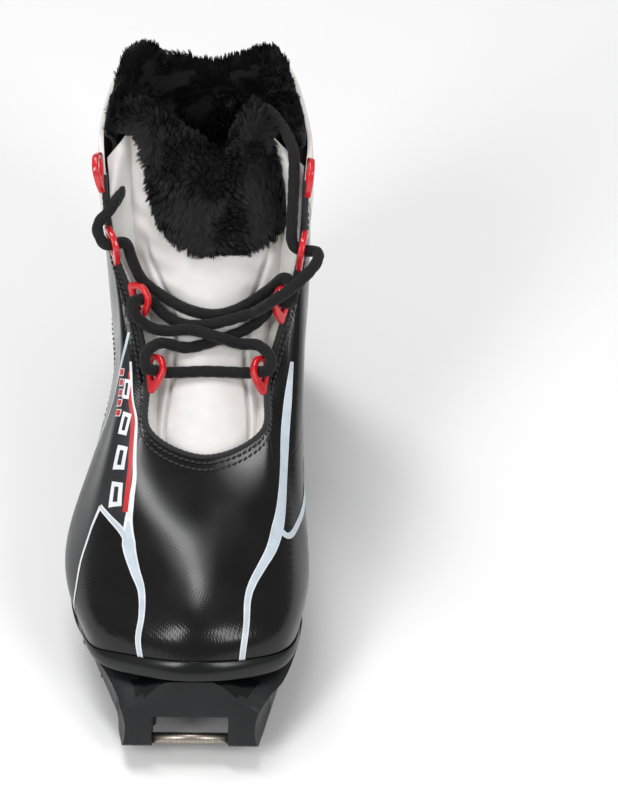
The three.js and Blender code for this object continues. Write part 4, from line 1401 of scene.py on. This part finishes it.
def sole_place(a, b):
    y = np.interp(a, np.linspace(0, 1, len(SOLE_STOPS)), SOLE_STOPS)
    tread_out, rim_out, tread_in, rim_in, ground, top, crown = sole_row(y).T
    x, z = np.zeros_like(a), np.zeros_like(a)
    part = b * 4
    bottom = part < 1
    x = np.where(bottom, lerp(tread_in, -tread_out, part), x)
    z = np.where(bottom, ground, z)
    for number, (sign, tread, rim) in ((1, (-1, tread_out, rim_out)), (3, (1, tread_in, rim_in))):
        t = np.clip(part - number, 0, 1)
        t = t if number == 1 else 1 - t
        pinch = np.minimum(tread, rim) - 2.2
        side_x = (1 - t) ** 2 * tread + 2 * t * (1 - t) * pinch + t**2 * rim
        side_z = lerp(ground, top - 2.0, t)
        here = (part >= number) & (part < number + 1) if number == 1 else part >= number
        x = np.where(here, sign * side_x, x)
        z = np.where(here, side_z, z)
    t = np.clip(part - 2, 0, 1)
    over = (part >= 2) & (part < 3)
    x = np.where(over, lerp(-rim_out, rim_in, t), x)
    z = np.where(
        over,
        top - 2.0 + 2.0 * np.minimum(ease(t, 0, 0.06), ease(1 - t, 0, 0.06)) + crown * np.minimum(
            ease(t, 0.05, 0.35), ease(1 - t, 0.05, 0.35),
        ),
        z,
    )
    lean = 8 * (1 - ease(y, -138, -112))
    back = lean * (z - ground) / (top - ground)
    return np.stack([x + AXIS_X, y + back, z], axis=1)


sole = grid("sole_rubber", len(SOLE_STOPS) - 1, 72, sole_place, joined=True)
bm = bmesh.new()
bm.from_mesh(sole.data)
bmesh.ops.holes_fill(bm, edges=[e for e in bm.edges if e.is_boundary], sides=0)
bmesh.ops.recalc_face_normals(bm, faces=bm.faces)
if bm.calc_volume(signed=True) < 0:
    bmesh.ops.reverse_faces(bm, faces=bm.faces)
print("sole body", round(bm.calc_volume(signed=True) * 1e6), "cubic cm")
bm.to_mesh(sole.data)
bm.free()


# %% Cut the channel and the notch
def cutter(name, corners):
    """A hidden block whose eight corners are moved to where the cut goes, in millimetres."""
    bm = bmesh.new()
    bmesh.ops.create_cube(bm, size=1.0)
    for vert in bm.verts:
        x, y, z = (int(c > 0) for c in vert.co)
        vert.co = Vector(corners(x, y, z)) * MM
    return from_bmesh(name, bm)


CHANNEL_MOUTH, CHANNEL_FLOOR, CHANNEL_TOP = 24, 15, 11
NOTCH_WIDTH, NOTCH_TOP, NOTCH_END = 31.4, 23, -117


def channel_corner(x, y, z):
    half = (CHANNEL_FLOOR if z else CHANNEL_MOUTH) / 2
    return (AXIS_X + (half if x else -half), 150 if y else -150, CHANNEL_TOP if z else -1)


def notch_corner(x, y, z):
    half = NOTCH_WIDTH / 2
    return (AXIS_X + (half if x else -half), NOTCH_END if y else -145, NOTCH_TOP if z else -1)


for name, corner in (("channel", channel_corner), ("notch", notch_corner)):
    block = cutter(name + "_cutter", corner)
    cut = sole.modifiers.new(name, "BOOLEAN")
    cut.operation = "DIFFERENCE"
    cut.solver = "MANIFOLD"
    cut.object = block
    bpy.context.view_layer.update()
    mesh = bpy.data.meshes.new_from_object(sole.evaluated_get(bpy.context.evaluated_depsgraph_get()))
    sole.modifiers.clear()
    sole.data = mesh
    bpy.data.objects.remove(block)
    print(name, "cut,", len(mesh.polygons), "faces")
for face in sole.data.polygons:
    face.use_smooth = True
soft_edges = sole.modifiers.new("moulded edges", "BEVEL")
soft_edges.width = 0.9 * MM
soft_edges.segments = 2
soft_edges.angle_limit = math.radians(42)
soft_edges.use_clamp_overlap = True
sole.data.materials.clear()
sole.data.materials.append(RUBBER)
sole.data.materials.append(GLOSS_RUBBER)
for face in sole.data.polygons:
    spot, normal = face.center / MM, face.normal
    side_wall = abs(normal.z) < 0.6 and spot.y > -112
    bumper = spot.z > 29.5 and spot.y < -100
    face.material_index = 1 if side_wall or bumper else 0
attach(sole, "boot")
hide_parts("outsole")
print("sole", len(sole.data.polygons), "faces")

# %% Lugs and ribs
LUGS = [
    [(-29, -117), (-15, -118), (-14, -84), (-31, -82), (-36, -98)],
    [(15, -118), (30, -117), (33, -93), (14, -90)],
    [(-39, -90), (-34, -79), (-40, -77)],
    [(-28, -80), (-13, -81), (-13, -54), (-27, -53)],
    [(-43, -75), (-31, -77), (-30, -49), (-41, -48)],
    [(-48, -70), (-44, -68), (-44, -43), (-49, -44)],
    [(12, -86), (28, -84), (29, -64), (11, -62)],
    [(31, -84), (38, -82), (40, -66), (32, -64)],
    [(-27, -50), (-12, -50), (-12, -23), (-26, -23)],
    [(-41, -44), (-29, -46), (-29, -18), (-38, -17)],
    [(-49, -36), (-43, -38), (-41, -17), (-45, -17)],
    [(11, -59), (29, -60), (27, -32), (10, -32)],
    [(31, -60), (39, -58), (37, -36), (29, -34)],
    [(-37, -13), (-28, -14), (-27, 20), (-31, 22)],
    [(11, -29), (28, -28), (20, 4), (11, 4)],
    [(31, -32), (35, -31), (32, -22), (29, -24)],
    [(-24, 103), (-9, 108), (-10, 121), (-25, 122)],
    [(-24, 87), (-8, 90), (-9, 100), (-25, 98)],
    [(9, 108), (26, 103), (26, 122), (10, 122)],
    [(8, 90), (24, 87), (25, 99), (9, 100)],
    [(-21, 125), (-8, 125), (-8, 134), (-15, 133)],
    [(8, 125), (22, 125), (15, 133), (8, 134)],
    [(-22, -13), (-12.6, -13), (-12.6, 84), (-20, 84)],
    [(12.6, 50), (17, 56), (19, 84), (12.6, 84)],
]
bm = bmesh.new()
for corners in LUGS:
    height = spring_at(sum(y for _, y in corners) / len(corners))
    ring_verts = [bm.verts.new(((x + AXIS_X) * MM, y * MM, (height + 9) * MM)) for x, y in corners]
    top = bmesh.ops.contextual_create(bm, geom=ring_verts)["faces"][0]
    raised = bmesh.ops.extrude_face_region(bm, geom=[top])["geom"]
    low = [v for v in raised if isinstance(v, bmesh.types.BMVert)]
    bmesh.ops.translate(bm, verts=low, vec=(0, 0, -9 * MM))
    uprights = list({e for v in low for e in v.link_edges if abs(e.verts[0].co.z - e.verts[1].co.z) > 1e-3})
    bmesh.ops.bevel(
        bm, geom=uprights, affect="EDGES", offset=1.6 * MM, segments=3, profile=0.5, material=-1,
    )
bm.normal_update()
floor_edges = [e for e in bm.edges if all(v.co.z < 0.0102 for v in e.verts) and e.calc_face_angle(0) > 0.8]
bmesh.ops.bevel(bm, geom=floor_edges, affect="EDGES", offset=0.8 * MM, segments=2, profile=0.5, material=-1)
bmesh.ops.recalc_face_normals(bm, faces=bm.faces)
lugs = from_bmesh("sole_lugs", bm)
lugs.data.materials.append(RUBBER)
lugs.data.materials.append(PEBBLE_RUBBER)
for face in lugs.data.polygons:
    face.material_index = 1 if face.normal.z < -0.9 else 0
    face.use_smooth = False
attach(lugs, "boot")
print("lugs", len(lugs.data.polygons), "faces")

# %% The toe bar
BAR_DIAMETER, BAR_LENGTH, BAR_Y, BAR_Z = 4.6, 44, -133.5, 12
bm = bmesh.new()
bmesh.ops.create_cone(
    bm, cap_ends=True, segments=64, radius1=BAR_DIAMETER / 2 * MM, radius2=BAR_DIAMETER / 2 * MM,
    depth=BAR_LENGTH * MM,
)
for vert in bm.verts:
    x, y, z = vert.co
    vert.co = Vector((z + AXIS_X * MM, BAR_Y * MM + y, BAR_Z * MM + x))
bmesh.ops.recalc_face_normals(bm, faces=bm.faces)
bar = from_bmesh("toe_bar_steel", bm)
finish_piece(bar, STEEL, "boot", "steel", "toe_bar")

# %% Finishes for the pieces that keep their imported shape
KEPT = {
    "shank": STEEL, "insole_board": BOARD, "footbed": FELT, "toe_puff": BOARD, "heel_stiffener": BOARD,
    "forefoot_lining": KNIT, "lace_tip_lateral": GLOSS_RUBBER, "lace_tip_medial": GLOSS_RUBBER,
}
for name, material in KEPT.items():
    kept = frame["nodes"][name]
    kept.data.materials.clear()
    kept.data.materials.append(material)
print("kept", len(KEPT))

# %% [markdown]
# ## Floor and light
# Soft light from both sides and above shows patent leather best: its shine is the picture of the lamps. The
# floor and the surroundings are plain and pale.

# %% Floor
bm = bmesh.new()
bmesh.ops.create_grid(bm, x_segments=2, y_segments=2, size=3.0)
floor = from_bmesh("floor", bm)
floor.location.z = -0.0005
floor_material, _, _ = new_material("plain pale floor", {"Base Color": linear("#fcfcfc"), "Roughness": 0.9})
floor.data.materials.append(floor_material)


# %% Lamps
def lamp(name, place, aim, size, power):
    data = bpy.data.lights.new(name, "AREA")
    data.shape = "RECTANGLE"
    data.size, data.size_y = size
    data.energy = power
    made = bpy.data.objects.new(name, data)
    bpy.context.scene.collection.objects.link(made)
    made.location = place
    made.rotation_euler = (Vector(aim) - Vector(place)).to_track_quat("-Z", "Y").to_euler()
    return made


lamp("left softbox", (-0.9, -1.1, 1.2), (0, -0.03, 0.08), (0.45, 0.9), 11)
lamp("right softbox", (0.95, -1.15, 1.15), (0, -0.03, 0.08), (0.45, 0.9), 9)
lamp("top softbox", (-0.3, 0.35, 1.9), (0, 0, 0.05), (0.32, 1.4), 17)
world = bpy.data.worlds.new("white room")
bpy.context.scene.world = world
world.use_nodes = True
world.node_tree.nodes["Background"].inputs["Color"].default_value = linear("#ffffff")
world.node_tree.nodes["Background"].inputs["Strength"].default_value = 0.34
bpy.context.scene.view_settings.view_transform = "Standard"
